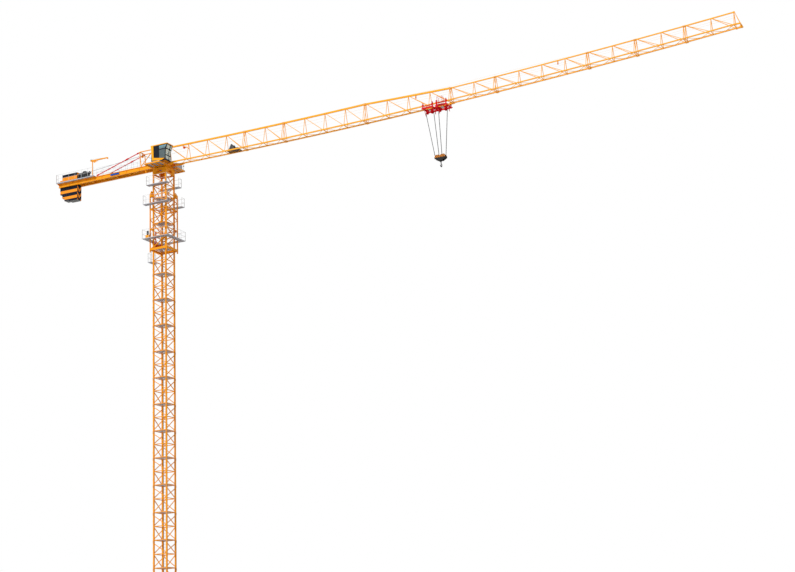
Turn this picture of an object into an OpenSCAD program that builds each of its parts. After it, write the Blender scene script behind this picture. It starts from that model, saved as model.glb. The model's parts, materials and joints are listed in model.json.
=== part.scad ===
// Flat-top tower crane, scale model 1:10
// The mast stands at x = y = 0 on a cross-shaped base frame, the jib points along +X
// and the counter-jib along -X. All sizes are millimetres of the model.

/* [Mast] */
// Distance between the centres of two mast legs
mast_w = 168; // [150:1:190]
// Side of a square mast leg
leg_d = 15; // [10:0.5:20]
// Height of one mast section
sec_h = 300; // [280:1:320]
// Width of a mast brace across its flats
brace_d = 7; // [4:0.5:9]
// Width of a horizontal ring bar of the mast
ring_d = 8; // [5:0.5:11]
// Distance from the foot of a mast section up to its lower ring
ring_rise = 17; // [14:0.5:24]
// Height of the collars at both ends of a leg
collar_h = 14; // [8:1:20]
// Height of a climbing lug on a leg
lug_h = 16; // [10:1:20]
// Thickness of the landing plates in the mast
landing_t = 3; // [2:0.5:5]
// Width of a ladder between its rails
ladder_w = 28; // [20:1:36]
// Distance between two rungs
rung_pitch = 30; // [25:1:40]
// Seam left between pieces that are bolted together
seam = 0.2; // [0.1:0.05:0.4]
// Gap between a piece and what it rests on
seat = 0.3; // [0.2:0.05:0.5]

/* [Base] */
// Height of the base frame, from the ground to the first mast section
base_h = 40; // [35:1:60]
// Height of the cross beams of the base frame
base_beam_h = 22; // [16:1:30]
// Width of the cross beams of the base frame
base_beam_w = 18; // [14:1:24]
// Side of a square foot plate
foot_w = 46; // [34:1:60]
// Thickness of a foot plate
foot_t = 6; // [4:0.5:8]

/* [Climbing cage] */
// Clear gap between a mast leg and a post of the cage
cage_gap = 14; // [8:0.5:18]
// Side of a cage post
cage_d = 11; // [8:0.5:13]
// Height of the cage frame
cage_h = 672; // [640:1:760]
// Distance from the mast's top down to the foot of the cage
cage_below = 606; // [580:1:640]
// Height of the cage's upper walkways above its foot
high_walk = 540; // [510:1:570]
// Distance from the mast axis to the front end of those walkways
high_walk_front = 168; // [140:1:190]
// Height of the slewing support's walkways above the mast's top
support_walk = 170; // [140:1:190]
// Distance from the mast axis to the front end of the slewing support's walkways
support_walk_front = 145; // [120:1:160]
// Distance from the mast axis to the back end of the slewing support's walkways
support_walk_back = 140; // [120:1:160]
// Height of the chamfered gusset plates above the cage
cage_gusset_h = 38; // [30:1:60]
// Height of the beams at the foot of the cage
cage_beam_h = 26; // [20:1:32]
// Width of a walkway
walk_w = 62; // [45:1:80]
// Thickness of a walkway
walk_t = 5; // [4:0.5:8]
// Width of the platform hung under the cage
hung_walk_w = 50; // [40:1:60]
// Length of the platform hung under the cage
hung_walk_len = 120; // [90:1:140]
// Diameter of the climbing cylinder
ram_d = 13; // [10:0.5:18]

/* [Railings] */
// Height of a handrail above its deck
rail_h = 105; // [90:1:115]
// Side of a rail or post
rail_d = 2; // [1.5:0.1:3]
// Greatest distance between two posts
post_pitch = 100; // [60:5:140]

/* [Slewing gear] */
// Height of the lattice of the slewing support
support_h = 304; // [290:1:330]
// Height of the box frame on top of the slewing support
support_box_h = 76; // [60:1:90]
// Wall of the box frame
support_wall = 8; // [5:0.5:12]
// Outer diameter of the slewing ring
ring_dia = 150; // [130:1:165]
// Width of the slewing ring across its wall
ring_wall = 15; // [10:1:20]
// Height of the slewing ring
ring_h = 12; // [8:0.5:16]
// Running gap between the ring and the turntable
ring_gap = 0.5; // [0.3:0.1:1]
// Height of the turntable beams
table_h = 28; // [24:1:34]
// Width of the turntable across the jib
table_w = 152; // [142:1:170]
// Distance from the mast axis to the back of the turntable
table_back = 104; // [90:1:120]
// Height of the deck frames beside the turntable
frame_h = 14; // [10:1:18]

/* [Counter-jib] */
// Distance from the mast axis to the end of the counter-jib
cj_len = 1465; // [1400:5:1550]
// Height of the counter-jib's upper side above the turntable's foot
cj_rise = 58; // [54:1:62]
// Height of the counter-jib beams
cj_beam_h = 46; // [40:1:54]
// Distance between the centres of the two counter-jib beams
cj_w = 100; // [92:1:112]
// Width of a flange of a counter-jib beam
cj_flange_w = 20; // [14:1:24]
// Thickness of a flange of a counter-jib beam
cj_flange_t = 5; // [3:0.5:7]
// Thickness of the deck plates
deck_t = 5; // [3:0.5:8]
// Width of the side decks outside the beams
side_deck_w = 40; // [30:1:50]
// Height of the tower head above the jib's lower chords
head_h = 213; // [195:1:225]
// Distance from the mast axis to the back of the tower head
head_len = 300; // [270:1:320]
// Length of the wide deck in front of the ballast
wide_deck_len = 279; // [250:1:300]
// Distance from the ballast to the derrick post
derrick_at = 227; // [210:1:240]
// Height of the derrick post
derrick_h = 188; // [160:1:200]
// Length of the derrick arm
derrick_len = 220; // [190:1:240]

/* [Ballast] */
// Length of the row of ballast slabs
ballast_len = 251; // [220:1:270]
// Depth of the longest slab below the counter-jib
slab_drop = 182; // [165:1:200]
// Height of the slabs above the counter-jib
slab_rise = 110; // [90:1:120]

/* [Jib] */
// Length of a two-panel jib section
bay = 511.5; // [480:0.5:540]
// Distance from the mast axis to the first jib pin
jib_root = 77; // [72:1:90]
// Radius of the upward curve of the jib
camber_r = 83300; // [60000:100:120000]
// Distance from the mast axis to the lowest point of the jib's curve
camber_x = 1275; // [900:5:1600]
// Height of the inner jib sections between chord centres
jib_h_in = 203; // [190:1:220]
// Height of the outer jib sections between chord centres
jib_h_out = 152; // [140:1:170]
// Distance between the centres of the lower chords
jib_w = 104; // [98:1:115]
// Side of the top chord of the inner sections
top_d = 17; // [14:0.5:20]
// Side of the lower chords
low_d = 13; // [10:0.5:15]
// Width of a jib post or diagonal across its flats
web_d = 6; // [4:0.5:8]

/* [Trolley and hook] */
// Distance from the mast axis to the trolley
trolley_x = 3500; // [3000:10:4000]
// Length of one of the two trolley frames
trolley_len = 127; // [110:1:150]
// Gap between the lower chords and the trolley's arms
arm_gap = 6.5; // [5:0.5:9]
// Radius of a trolley wheel
wheel_r = 7; // [5:0.5:9]
// Radius of a rope sheave in the trolley
sheave_r = 16; // [12:0.5:18]
// Radius of a rope sheave in the hook block
block_sheave_r = 20; // [14:0.5:22]
// Distance from the trolley's sheaves down to the hook block
drop = 500; // [300:1:600]
// Length of the hook block along the jib
block_len = 126; // [122:1:170]
// Height of the hook block
block_h = 60; // [54:1:100]
// Radius of the hook's round bend
hook_r = 18; // [14:0.5:22]
// Width of the mechanic's basket
basket_w = 46; // [36:1:56]
// Height of the basket's handrail
basket_h = 88; // [70:1:110]
// Diameter of a hoist rope
rope_d = 2.6; // [1.5:0.1:3.4]
// Distance between the two ropes of one pair of falls
rope_pair = 8; // [6:0.5:10]

/* [Cab] */
// Length of the cab's roof along the jib
cab_len = 227; // [205:1:245]
// Width of the cab over its side frames
cab_w = 122; // [110:1:130]
// Height of the cab
cab_h = 206; // [195:1:215]
// Distance by which the upright part of the front stands behind the roof
front_lean = 28; // [12:1:40]
// Height of the bend between the upright and the leaning part of the front
bend_h = 112; // [100:1:125]
// Width of the rear band of a side frame
rear_band = 36; // [28:1:44]
// Height of the roof's edge
roof_h = 9; // [6:0.5:12]
// Thickness of a side frame
frame_t = 5; // [3:0.5:6]
// Length of the closed panel behind the side windows
side_panel = 107; // [90:1:120]
// Thickness of the cab's walls
cab_wall = 6; // [4:0.5:8]
// Thickness of the panes
pane_t = 3; // [2:0.5:4]
// Width of the bars between the panes
mullion_w = 10; // [6:0.5:12]

/* [Hidden] */
n_sections = 19;
round_fn = 32;

// Heights of the mast and of what stands on it
mast_out = mast_w / 2 + leg_d / 2;
mast_in = mast_w / 2 - leg_d / 2 - seat;
mast_top = base_h + n_sections * sec_h;
box_z = mast_top + support_h;
support_top = box_z + support_box_h;
table_z = support_top + ring_h + ring_gap;
table_top = table_z + table_h;
deck_z = table_z + frame_h + seat + landing_t;

// Landings lie on the upper rings, ladders in the corner by the back leg
landing_rise = ring_rise + ring_d / 2 + seat;
hatch = [ladder_w + 8, 40];
hatch_at = [-mast_in + 12, mast_in - 51];
ladder_rail = 3;
ladder_x = hatch_at[0] + hatch[0] / 2;
ladder_y = mast_in - 5;

// Climbing cage, centred on the joint two sections below the mast's top
cage_c = mast_out + cage_gap + cage_d / 2;
cage_out = cage_c + cage_d / 2;
cage_z = mast_top - cage_below;
cage_top = cage_z + cage_h;
cage_foot = 22;
cage_levels = [cage_z + 16, cage_z + 250, cage_z + 490, cage_top - 14];
low_walk_z = cage_z + 132;
high_walk_z = cage_z + high_walk;
high_walk_back = cage_out + seat + walk_w - 12;
support_walk_z = mast_top + support_walk;
hung_walk_z = cage_z - 136;
hung_walk_x = -mast_out - 5;
hung_walk_y = [-hung_walk_len + 10, 10];
hanger_y = [hung_walk_y[0] + 20, hung_walk_y[1] - 20];
lug_parts = [0.245, 0.75];
lug_out = 4;
yoke_z = mast_top - 2 * sec_h + lug_parts[0] * sec_h + lug_h / 2 + seat;

// Turntable, decks and counter-jib
table_x = jib_root - seat;
near_deck = [-112, -(table_w / 2 + 156)];
far_deck = [[4, table_w / 2], [140, table_w / 2 + 157]];
cj_top = table_z + cj_rise;
cj_z = cj_top - cj_beam_h;
cj_root = -table_back - seat;
cj_deck_z = cj_top + seat;
deck_top = cj_deck_z + deck_t;
end_plate_t = 8;
n_slabs = 8;
slab_x = -cj_len + end_plate_t + 2;
slab_end = slab_x + ballast_len;
slab_pitch = ballast_len / n_slabs;
slab_short = [0.53, 0.25, 0.06, 0.06, 0, 0, 0, 0];
slab_half = cj_w / 2 - cj_flange_w / 2 - seat;
head_lap = 6;
first_slab_rise = 0.4 * slab_rise;
wide_deck_end = slab_end + wide_deck_len;
winch_x = slab_end + 15;
derrick_x = slab_end + derrick_at;
tie_low = [wide_deck_end + 14, cj_top + 12];
side_deck_y = [cj_w / 2 + 2, cj_w / 2 + 2 + side_deck_w];
narrow_deck_y = cj_w / 2 - cj_flange_w / 2 + 5;
n_cross = 7;
cross_w = 10;
cross_x = [for (i = [0 : n_cross - 1])
    slab_end + 14 + (cj_root - 40 - slab_end) * i / (n_cross - 1)];

// Jib: a chain of sections whose lower chords follow one large arc
jib_z = table_top + 3;
jib_panels = [4, 2, 4, 4, 2, 4, 2, 2, 2];
n_jib = len(jib_panels);
tapered = 3;
top_d_out = top_d - 6;
low_h_out = low_d - 3;
camber_z = jib_z + camber_r;
lug_len = 16;
node_shift = 14;
head_z = jib_z + head_h;
head_front = jib_root - 12;
winch2_x = 940;

// Tower head and tie rods
head_foot = -head_len + 18;
tie_top = [-head_len - 10, head_z - 6];

// Trolley, falls and hook block
pulley_drop = 72;
trolley_z = chord_z(trolley_x);
trolley_y = jib_w / 2 + low_d / 2 + arm_gap;
frame_x = [trolley_x - 155, trolley_x + 4];
frame_bottom = trolley_z - 46;
hoist_z = trolley_z - pulley_drop;
block_top = hoist_z - drop;
block_x = trolley_x + 3;
block_sheave_x = 38;
block_axle = block_top - 28;
fall_top_x = [-142, -51, 5, 108];
fall_side = rope_d / 2 + seat;
fall_low_x = [for (sx = [-1, 1], side = [-1, 1])
    block_x - trolley_x + sx * block_sheave_x + side * (block_sheave_r + fall_side)];
basket_x = [trolley_x + 40, trolley_x + 101];
basket_y = -(trolley_y + 5 + seat);
hook_z = block_top - block_h - seat;
hook_drop = 48;

// Cab, standing on the near deck beside the turntable and reaching past its end
cab_x = -40;
cab_y1 = -(table_w / 2 + 7);
cab_y = cab_y1 - cab_w;
cab_z = deck_z + seat;
cab_end = cab_x + cab_len;
cab_top = cab_z + cab_h;
body_x = cab_x + 6;
body_y = [cab_y + frame_t + seat, cab_y1 - frame_t - seat];
body_top = cab_top - roof_h - seat;
nose_x = cab_end - front_lean;
brow_x = cab_end - 3;
bend_z = cab_z + bend_h;
near_deck_end = nose_x - 59;
chin = 8;
chin_x = nose_x - 45;
window_x = body_x + side_panel;
pillar = cab_wall + 1;
side_sill = [42, 30];
rail_up = bend_h + 26;
pane_top = body_top - cab_z - 7;
side_panes = [[0, rail_up], [rail_up + mullion_w, pane_top]];
front_panes = [[20, 63], [63 + mullion_w, rail_up], [rail_up + mullion_w, pane_top]];
front_split = between(body_y[0], body_y[1], 0.66);

orange = "#f49a10";
red = "#c8101e";
grey = "#9a9a9a";
black = "#1a1a1a";
glass = "#5b7a7c";
concrete = "#ff9a20";
navy = "#141c2e";

function chord_z(x) = camber_z - sqrt(camber_r * camber_r - (x - camber_x) * (x - camber_x));
function bays_before(i) = i == 0 ? 0 : bays_before(i - 1) + jib_panels[i - 1] / 2;
function jib_start(i) = jib_root + bays_before(i) * bay;
function jib_height(i, t) =
    i < tapered ? jib_h_in : i == tapered ? jib_h_in + (jib_h_out - jib_h_in) * t : jib_h_out;
function jib_top_d(i) = i <= tapered ? top_d : top_d_out;
function between(a, b, t) = a + (b - a) * t;
function front_x(z) = z < bend_z ? nose_x : between(nose_x, brow_x, (z - bend_z) / (body_top - bend_z));

// Straight bar with flat sides between two points
module bar(a, b, d, sides = 4) {
    v = b - a;
    length = norm(v);
    translate(a)
        rotate([0, acos(v[2] / length), atan2(v[1], v[0])])
            rotate([0, 0, 180 / sides])
                cylinder(d = d / cos(180 / sides), h = length, $fn = sides);
}

// Box given by its low and high corners
module box(low, high) translate(low) cube(high - low);

// Round bar along Y, centred on y
module round_y(at, r, length) translate([at[0], at[1] + length / 2, at[2]])
    rotate([90, 0, 0]) cylinder(r = r, h = length, $fn = round_fn);

// Round bar along X, from its start
module round_x(at, r, length) translate(at) rotate([0, 90, 0]) cylinder(r = r, h = length, $fn = round_fn);

// Plate in the plane of X and Z with its outline given there, centred on y
module plate_xz(y, t, outline) translate([0, y + t / 2, 0]) rotate([90, 0, 0]) linear_extrude(t) polygon(outline);

// Plate in the plane of Y and Z with its outline given there, starting at x
module plate_yz(x, t, outline) translate([x, 0, 0]) rotate([90, 0, 90]) linear_extrude(t) polygon(outline);

// The four faces of a square tower
module faces() for (a = [0, 90, 180, 270]) rotate([0, 0, a]) children();

// Straight handrail over a deck at height z, with posts at both ends
module handrail(a, b, z) {
    n = ceil(norm(b - a) / post_pitch);
    low = [min(a[0], b[0]) - rail_d / 2, min(a[1], b[1]) - rail_d / 2];
    high = [max(a[0], b[0]) + rail_d / 2, max(a[1], b[1]) + rail_d / 2];
    for (i = [0 : n]) {
        p = between(a, b, i / n);
        box([p[0] - rail_d / 2, p[1] - rail_d / 2, z + seat], [p[0] + rail_d / 2, p[1] + rail_d / 2, z + rail_h]);
    }
    for (h = [rail_h / 2, rail_h]) box([low[0], low[1], z + h - rail_d], [high[0], high[1], z + h]);
}

module base_frame() color(orange) {
    reach = mast_w / 2;
    post = leg_d / 2 + 1.5;
    for (a = [45, 135]) rotate([0, 0, a])
        box([-reach * sqrt(2), -base_beam_w / 2, 0], [reach * sqrt(2), base_beam_w / 2, base_beam_h]);
    for (sx = [-1, 1], sy = [-1, 1]) translate([sx * reach, sy * reach, 0]) {
        box([-foot_w / 2, -foot_w / 2, 0], [foot_w / 2, foot_w / 2, foot_t]);
        box([-post, -post, 0], [post, post, base_h - seam]);
    }
}

// Legs with their collars, two rings and the zigzag of one lattice tower section
module tower_section(z0, height) {
    r = mast_w / 2;
    z1 = z0 + height - seam;
    lower = z0 + ring_rise;
    mid = lower + height / 2;
    knee = leg_d + ring_d;
    faces() {
        box([-r - leg_d / 2, -r - leg_d / 2, z0], [-r + leg_d / 2, -r + leg_d / 2, z1]);
        for (z = [z0, z1 - collar_h])
            box([-mast_out - 1.5, -mast_out - 1.5, z], [-r + leg_d / 2, -r + leg_d / 2 - 2, z + collar_h]);
        bar([-r, -r, lower], [r, -r, lower], ring_d);
        bar([-r, -r, mid], [r, -r, mid], ring_d);
        bar([-r, -r, z1 - collar_h - brace_d / 2], [r, -r, mid + knee / 4], brace_d);
        bar([-r, -r, lower + knee / 2], [r, -r, mid - knee / 4], brace_d);
    }
}

module mast_section(k) color(orange) {
    z0 = base_h + k * sec_h;
    tower_section(z0, sec_h);
    for (sy = [-1, 1], part = lug_parts)
        box([-mast_out - lug_out, sy * mast_w / 2 - 5, z0 + part * sec_h - lug_h / 2],
            [-mast_out + 2, sy * mast_w / 2 + 5, z0 + part * sec_h + lug_h / 2]);
}

module mast_landings() color(grey)
    for (k = [1 : n_sections]) {
        z = base_h + k * sec_h + landing_rise;
        difference() {
            box([-mast_in, -mast_in, z], [mast_in, mast_in, z + landing_t]);
            translate([hatch_at[0], hatch_at[1], z - 1]) cube([hatch[0], hatch[1], landing_t + 2]);
        }
    }

// One ladder flight a section, standing on a landing beside its hatch
module mast_ladders() color(grey)
    for (k = [1 : n_sections - 1]) {
        z0 = base_h + k * sec_h + landing_rise + landing_t + seat;
        z1 = z0 + sec_h - landing_t - 2 * seat;
        for (s = [-1, 1]) {
            x = ladder_x + s * ladder_w / 2;
            box([x - ladder_rail / 2, ladder_y - 2, z0], [x + ladder_rail / 2, ladder_y + 2, z1]);
        }
        for (z = [z0 + rung_pitch / 2 : rung_pitch : z1 - rung_pitch / 3])
            box([ladder_x - ladder_w / 2, ladder_y - 1, z - 1], [ladder_x + ladder_w / 2, ladder_y + 1, z + 1]);
    }

module climbing_cage() color(orange) {
    r = cage_c;
    z = cage_levels;
    faces() {
        box([-cage_out, -cage_out, cage_z - cage_foot], [-r + cage_d / 2, -r + cage_d / 2, cage_top]);
        box([-r, -r - 4, cage_z], [r, -r + 4, cage_z + cage_beam_h]);
        for (i = [1 : 3]) bar([-r, -r, z[i]], [r, -r, z[i]], ring_d);
        // shoes that guide the cage along the mast legs
        for (i = [1, 2], s = [-1, 1])
            box([s * mast_w / 2 - 5, -r, z[i] - 4], [s * mast_w / 2 + 5, -mast_out - seat, z[i] + 4]);
    }
    // zigzag bracing, with the lowest panel open where the ram stands
    for (a = [0, 90, 180, 270], i = [a == 270 ? 1 : 0 : 2]) rotate([0, 0, a]) {
        bar([-r, -r, z[i]], [r, -r, (z[i] + z[i + 1]) / 2], brace_d);
        bar([r, -r, (z[i] + z[i + 1]) / 2], [-r, -r, z[i + 1]], brace_d);
    }
    for (sx = [-1, 1], sy = [-1, 1]) scale([sx, sy, 1])
        translate([0, cage_out, 0]) rotate([90, 0, 0]) linear_extrude(cage_out - mast_out + leg_d)
            polygon([[cage_out, cage_top - 30], [cage_out, cage_top],
                     [mast_out + seat, cage_top + cage_gusset_h], [mast_out + seat, cage_top - 30]]);
}

// Tray-shaped walkway plate
module walkway(x0, x1, y0, y1, z) {
    rim = 2;
    difference() {
        box([x0, y0, z], [x1, y1, z + walk_t]);
        box([x0 + rim, y0 + rim, z - 1], [x1 - rim, y1 - rim, z + walk_t - rim]);
    }
}

// Walkways of the cage, of the slewing support and the platform hung under the cage
module mast_walkways() color(grey) {
    in = cage_out + seat;
    out = in + walk_w;
    walkway(-out, out, -out, -in, low_walk_z);
    walkway(-out, out, in, out, low_walk_z);
    walkway(in, out, -in + seam, in - seam, low_walk_z);
    walkway(-out, -in, -in + seam, in - seam, low_walk_z);
    for (s = [-1, 1]) scale([1, s, 1]) {
        walkway(-high_walk_back, high_walk_front, in, out, high_walk_z);
        walkway(-support_walk_back, support_walk_front, mast_out + seat, mast_out + seat + walk_w, support_walk_z);
    }
    walkway(hung_walk_x - hung_walk_w, hung_walk_x, hung_walk_y[0], hung_walk_y[1], hung_walk_z);
}

// Handrails of the walkways, and the bars that carry the hung platform
module mast_railings() color(grey) {
    in = cage_out + seat;
    out = in + walk_w - rail_d;
    end = out - 2 * rail_d;
    low = low_walk_z + walk_t;
    for (s = [-1, 1]) {
        handrail([-out, s * out], [out, s * out], low);
        handrail([s * out, -end], [s * out, end], low);
        xh = [rail_d - high_walk_back, high_walk_front - rail_d];
        handrail([xh[0], s * out], [xh[1], s * out], high_walk_z + walk_t);
        for (x = xh) handrail([x, s * (in + rail_d)], [x, s * end], high_walk_z + walk_t);
        y0 = mast_out + seat + rail_d;
        y1 = mast_out + seat + walk_w - rail_d;
        xs = [rail_d - support_walk_back, support_walk_front - rail_d];
        handrail([xs[0], s * y1], [xs[1], s * y1], support_walk_z + walk_t);
        for (x = xs) handrail([x, s * y0], [x, s * (y1 - 2 * rail_d)], support_walk_z + walk_t);
    }
    z = hung_walk_z + walk_t;
    x = hung_walk_x - hung_walk_w + rail_d;
    y = [hung_walk_y[0] + rail_d, hung_walk_y[1] - rail_d];
    handrail([x, y[0]], [x, y[1]], z);
    for (v = y) handrail([x + 2 * rail_d, v], [-cage_c - 4, v], z);
    for (v = hanger_y) box([-cage_c - 1.5, v - 1.5, z + seat], [-cage_c + 1.5, v + 1.5, cage_z - seat]);
}

// Ram under the cage's ring, standing on the yoke that rests on two lugs of the mast
module climbing_gear() color(red) {
    x0 = -mast_out - seat - 10;
    x1 = -mast_out - seat;
    r = mast_w / 2;
    top = cage_levels[1] - ring_d / 2 - seat;
    foot = yoke_z + 24;
    plate_yz(x0, x1 - x0, [[-r - 6, yoke_z], [-r + 8, yoke_z], [-16, yoke_z - 34], [16, yoke_z - 34],
        [r - 8, yoke_z], [r + 6, yoke_z], [r + 6, foot], [r - 14, foot], [24, yoke_z + 4],
        [-24, yoke_z + 4], [-r + 14, foot], [-r - 6, foot]]);
    box([-cage_c - 8, -12, yoke_z - 24], [x1, 12, yoke_z - 6]);
    translate([-cage_c, 0, yoke_z - 7]) cylinder(d = ram_d * 0.6, h = top - yoke_z, $fn = round_fn);
    translate([-cage_c, 0, between(yoke_z, top, 0.45)])
        cylinder(d = ram_d, h = (top - yoke_z) * 0.55 - 4, $fn = round_fn);
    box([-cage_c - 5, -8, top - 6], [-cage_c + 5, 8, top]);
}

module power_pack() {
    low = [-cage_out - 23, -cage_out - seat - 48, low_walk_z + walk_t + seat];
    size = [47, 28, 36];
    color(orange) box(low, low + size);
    color(black) translate([low[0] + 24, low[1] + size[1] / 2, low[2] + size[2] - 1])
        cylinder(d = 24, h = 50, $fn = round_fn);
}

module slewing_support() color(orange) {
    tower_section(mast_top, support_h + seam);
    wall = mast_out - support_wall;
    difference() {
        box([-mast_out, -mast_out, box_z], [mast_out, mast_out, support_top]);
        box([-wall, -wall, box_z - 1], [wall, wall, support_top - 6]);
        translate([0, 0, support_top - 20]) cylinder(d = ring_dia - 2 * ring_wall - 10, h = 30, $fn = round_fn);
        // window in each wall of the box
        faces() translate([0, -wall + 1, 0]) rotate([90, 0, 0]) linear_extrude(support_wall + 2)
            polygon([[-40, box_z + 20], [40, box_z + 20], [28, support_top - 22], [-28, support_top - 22]]);
    }
}

module slewing_ring() color(grey) translate([0, 0, support_top + seam])
    difference() {
        union() {
            cylinder(d = ring_dia, h = (ring_h - seam) / 2 - 1, $fn = 64);
            cylinder(d = ring_dia - 4, h = ring_h - seam, $fn = 64);
        }
        translate([0, 0, -1]) cylinder(d = ring_dia - 2 * ring_wall, h = ring_h + 2, $fn = 64);
    }

module turntable() color(orange) {
    r = table_w / 2;
    difference() {
        box([-table_back, -r, table_z], [table_x, r, table_top]);
        box([-table_back + 34, -r + 16, table_z + 6], [table_x - 24, r - 16, table_top + 1]);
        translate([0, 0, table_z - 1]) cylinder(d = ring_dia - 2 * ring_wall, h = 10, $fn = 64);
    }
    // brackets that take the counter-jib beams
    for (s = [-1, 1])
        box([-table_back, s * cj_w / 2 - cj_flange_w / 2, table_z], [-40, s * cj_w / 2 + cj_flange_w / 2, cj_top]);
    deck_frame([near_deck[0], near_deck[1]], [near_deck_end, -r + 1]);
    deck_frame([far_deck[0][0], r - 1], far_deck[1]);
}

// Flat deck frame of channel bars with two cross bars
module deck_frame(low, high) {
    w = 7;
    n = 3;
    step = (high[0] - low[0] - w) / n;
    difference() {
        box([low[0], low[1], table_z], [high[0], high[1], table_z + frame_h]);
        for (i = [0 : n - 1])
            box([low[0] + w + i * step, low[1] + w, table_z - 1],
                [low[0] + (i + 1) * step, high[1] - w, table_z + frame_h + 1]);
    }
}

// Gratings of the turntable's decks and of the counter-jib
module deck_gratings() color(grey) {
    z = table_z + frame_h + seat;
    r = table_w / 2 + seat;
    box([near_deck[0], near_deck[1], z], [near_deck_end, -r, z + landing_t]);
    box([far_deck[0][0], r, z], [far_deck[1][0], far_deck[1][1], z + landing_t]);
    for (s = [-1, 1]) scale([1, s, 1])
        box([-cj_len - 13, side_deck_y[0], cj_deck_z], [wide_deck_end, side_deck_y[1], deck_top]);
    box([winch_x - 3, -side_deck_y[0] + seam, cj_deck_z], [wide_deck_end, side_deck_y[0] - seam, deck_top]);
    for (x = [[wide_deck_end + seam, -head_len - 6], [head_foot + 10, -table_back + 30]])
        box([x[0], -narrow_deck_y, cj_deck_z], [x[1], narrow_deck_y, deck_top]);
}

// Handrails of the counter-jib
module upper_railings() color(grey) {
    y = side_deck_y[1] - rail_d;
    x = -cj_len - 13 + rail_d;
    in = 2 * rail_d;
    for (s = [-1, 1]) {
        handrail([x, s * y], [wide_deck_end - rail_d, s * y], deck_top);
        y1 = s * (narrow_deck_y - 2 * rail_d);
        handrail([wide_deck_end + in, y1], [-head_len - 6 - rail_d, y1], deck_top);
    }
    for (s = [-1, 1])
        handrail([x, s * (side_deck_y[0] + rail_d)], [x, s * (y - in)], deck_top);
}

module drive_cabinet() color(grey) {
    x0 = far_deck[0][0] + 28;
    x1 = x0 + 84;
    y0 = far_deck[0][1] + 16;
    y1 = far_deck[1][1] - 20;
    h = 62;
    slats = 9;
    pitch = (y1 - y0 - 8) / slats;
    z = deck_z + seat;
    box([x0, y0, z], [x1, y1, z + h]);
    for (k = [0 : slats - 1]) box([x1 - 1, y0 + 6 + k * pitch, z + 6], [x1 + 3, y0 + 2 + (k + 1) * pitch, z + h - 6]);
    for (k = [0 : 6]) box([x0 + 6 + k * 11, y0 - 3, z + 6], [x0 + 12 + k * 11, y0 + 1, z + h - 6]);
}

// Two side frames that carry the tie rods and the root of the jib's top chord
module tower_head() color(orange) {
    foot = table_top + seat;
    y = cj_w / 2;
    root_top = chord_z(jib_root) + jib_h_in;
    mid = -100;
    knee = -20;
    post = [-64, -54];
    for (s = [-1, 1]) {
        bar([-head_len, s * y, head_z], [knee, s * y, head_z], 9);
        bar([knee, s * y, head_z], [head_front, 0, root_top], 9);
        bar([head_foot, s * y, cj_top + seat + 0.5], [-head_len, s * y, head_z], 8);
        bar([head_foot, s * y, cj_top + 6], [mid, s * y, head_z], brace_d);
        bar([mid, s * y, head_z], [(post[0] + post[1]) / 2, s * y, cj_top + 34], brace_d);
        box([post[0], s * y - 5, cj_top + seat], [post[1], s * y + 5, cj_top + 40]);
        // legs down to the jib's lower pins
        bar([table_x - 8, s * jib_w / 2, jib_z + 6], [head_front, 0, root_top], web_d);
        box([table_x - 16, s * jib_w / 2 - low_d / 2, foot], [table_x, s * jib_w / 2 + low_d / 2, jib_z + 9]);
    }
    for (x = [-head_len, mid, knee]) bar([x, -y, head_z], [x, y, head_z], 8);
    bar([head_foot, -y, cj_top + 5], [head_foot, y, cj_top + 5], 8);
    // rope pulley in its hanging bracket
    for (s = [-1, 1]) bar([-head_len + 4, s * 8, head_z - 2], [-head_len + 4, s * 8, head_z - 46], 5);
    round_y([-head_len + 4, 0, head_z - 42], 14, 8);
    round_y([-head_len + 4, 0, head_z - 42], 3, 20);
    box([head_front - 6, -top_d / 2, root_top - top_d / 2], [table_x, top_d / 2, root_top + top_d / 2]);
}

// I-beam along X with its web between two flanges
module i_beam(x0, x1, y, z0, height) {
    w = cj_flange_w / 2;
    box([x0, y - w, z0], [x1, y + w, z0 + cj_flange_t]);
    box([x0, y - w, z0 + height - cj_flange_t], [x1, y + w, z0 + height]);
    box([x0, y - 2, z0 + cj_flange_t - 1], [x1, y + 2, z0 + height - cj_flange_t + 1]);
}

module counter_jib() color(orange) {
    y = cj_w / 2;
    for (s = [-1, 1]) {
        i_beam(-cj_len, cj_root, s * y, cj_z, cj_beam_h);
        // stiffeners on the webs, brackets under the side decks
        for (x = concat([slab_x + 20, slab_x + 140], cross_x))
            box([x - 1.5, s * y - 8, cj_z + 4], [x + 1.5, s * y + 8, cj_top - 4]);
        for (x = [-cj_len + 4, slab_x + 90, slab_x + 190, slab_end + 40, slab_end + 140, wide_deck_end - 20])
            plate_yz(x - 2, 4, [[s * (y + 2), cj_top - 22], [s * (y + 2), cj_top], [s * side_deck_y[1], cj_top],
                [s * side_deck_y[1], cj_top - 4]]);
    }
    for (x = cross_x) box([x - cross_w / 2, -y, cj_z + 8], [x + cross_w / 2, y, cj_top - 8]);
    for (i = [2, 4], s = [-1, 1])
        bar([cross_x[i], s * y, cj_z + 12], [cross_x[i + 1], -s * y, cj_z + 12], brace_d);
    box([-cj_len, -y, cj_z], [-cj_len + end_plate_t, y, cj_top]);
}

// Pairs of rods with couplings, from the tower head down to the counter-jib
module tie_rods() color(red)
    for (s = [-1, 1]) {
        y = s * cj_w / 2;
        low = [tie_low[0], y, tie_low[1]];
        top = [tie_top[0], y, tie_top[1]];
        bar(top, low, 4, 6);
        bar(between(top, low, 0.26), between(top, low, 0.30), 11);
        bar(between(top, low, 0.62), between(top, low, 0.635), 8);
        bar([tie_top[0] + 4.2, y, tie_top[1] + 1], [tie_top[0] - 14, y, tie_top[1] - 3], 9);
        box([low[0] - 8, y - 4, cj_top + seat], [low[0] + 8, y + 4, low[2] + 5]);
    }

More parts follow.
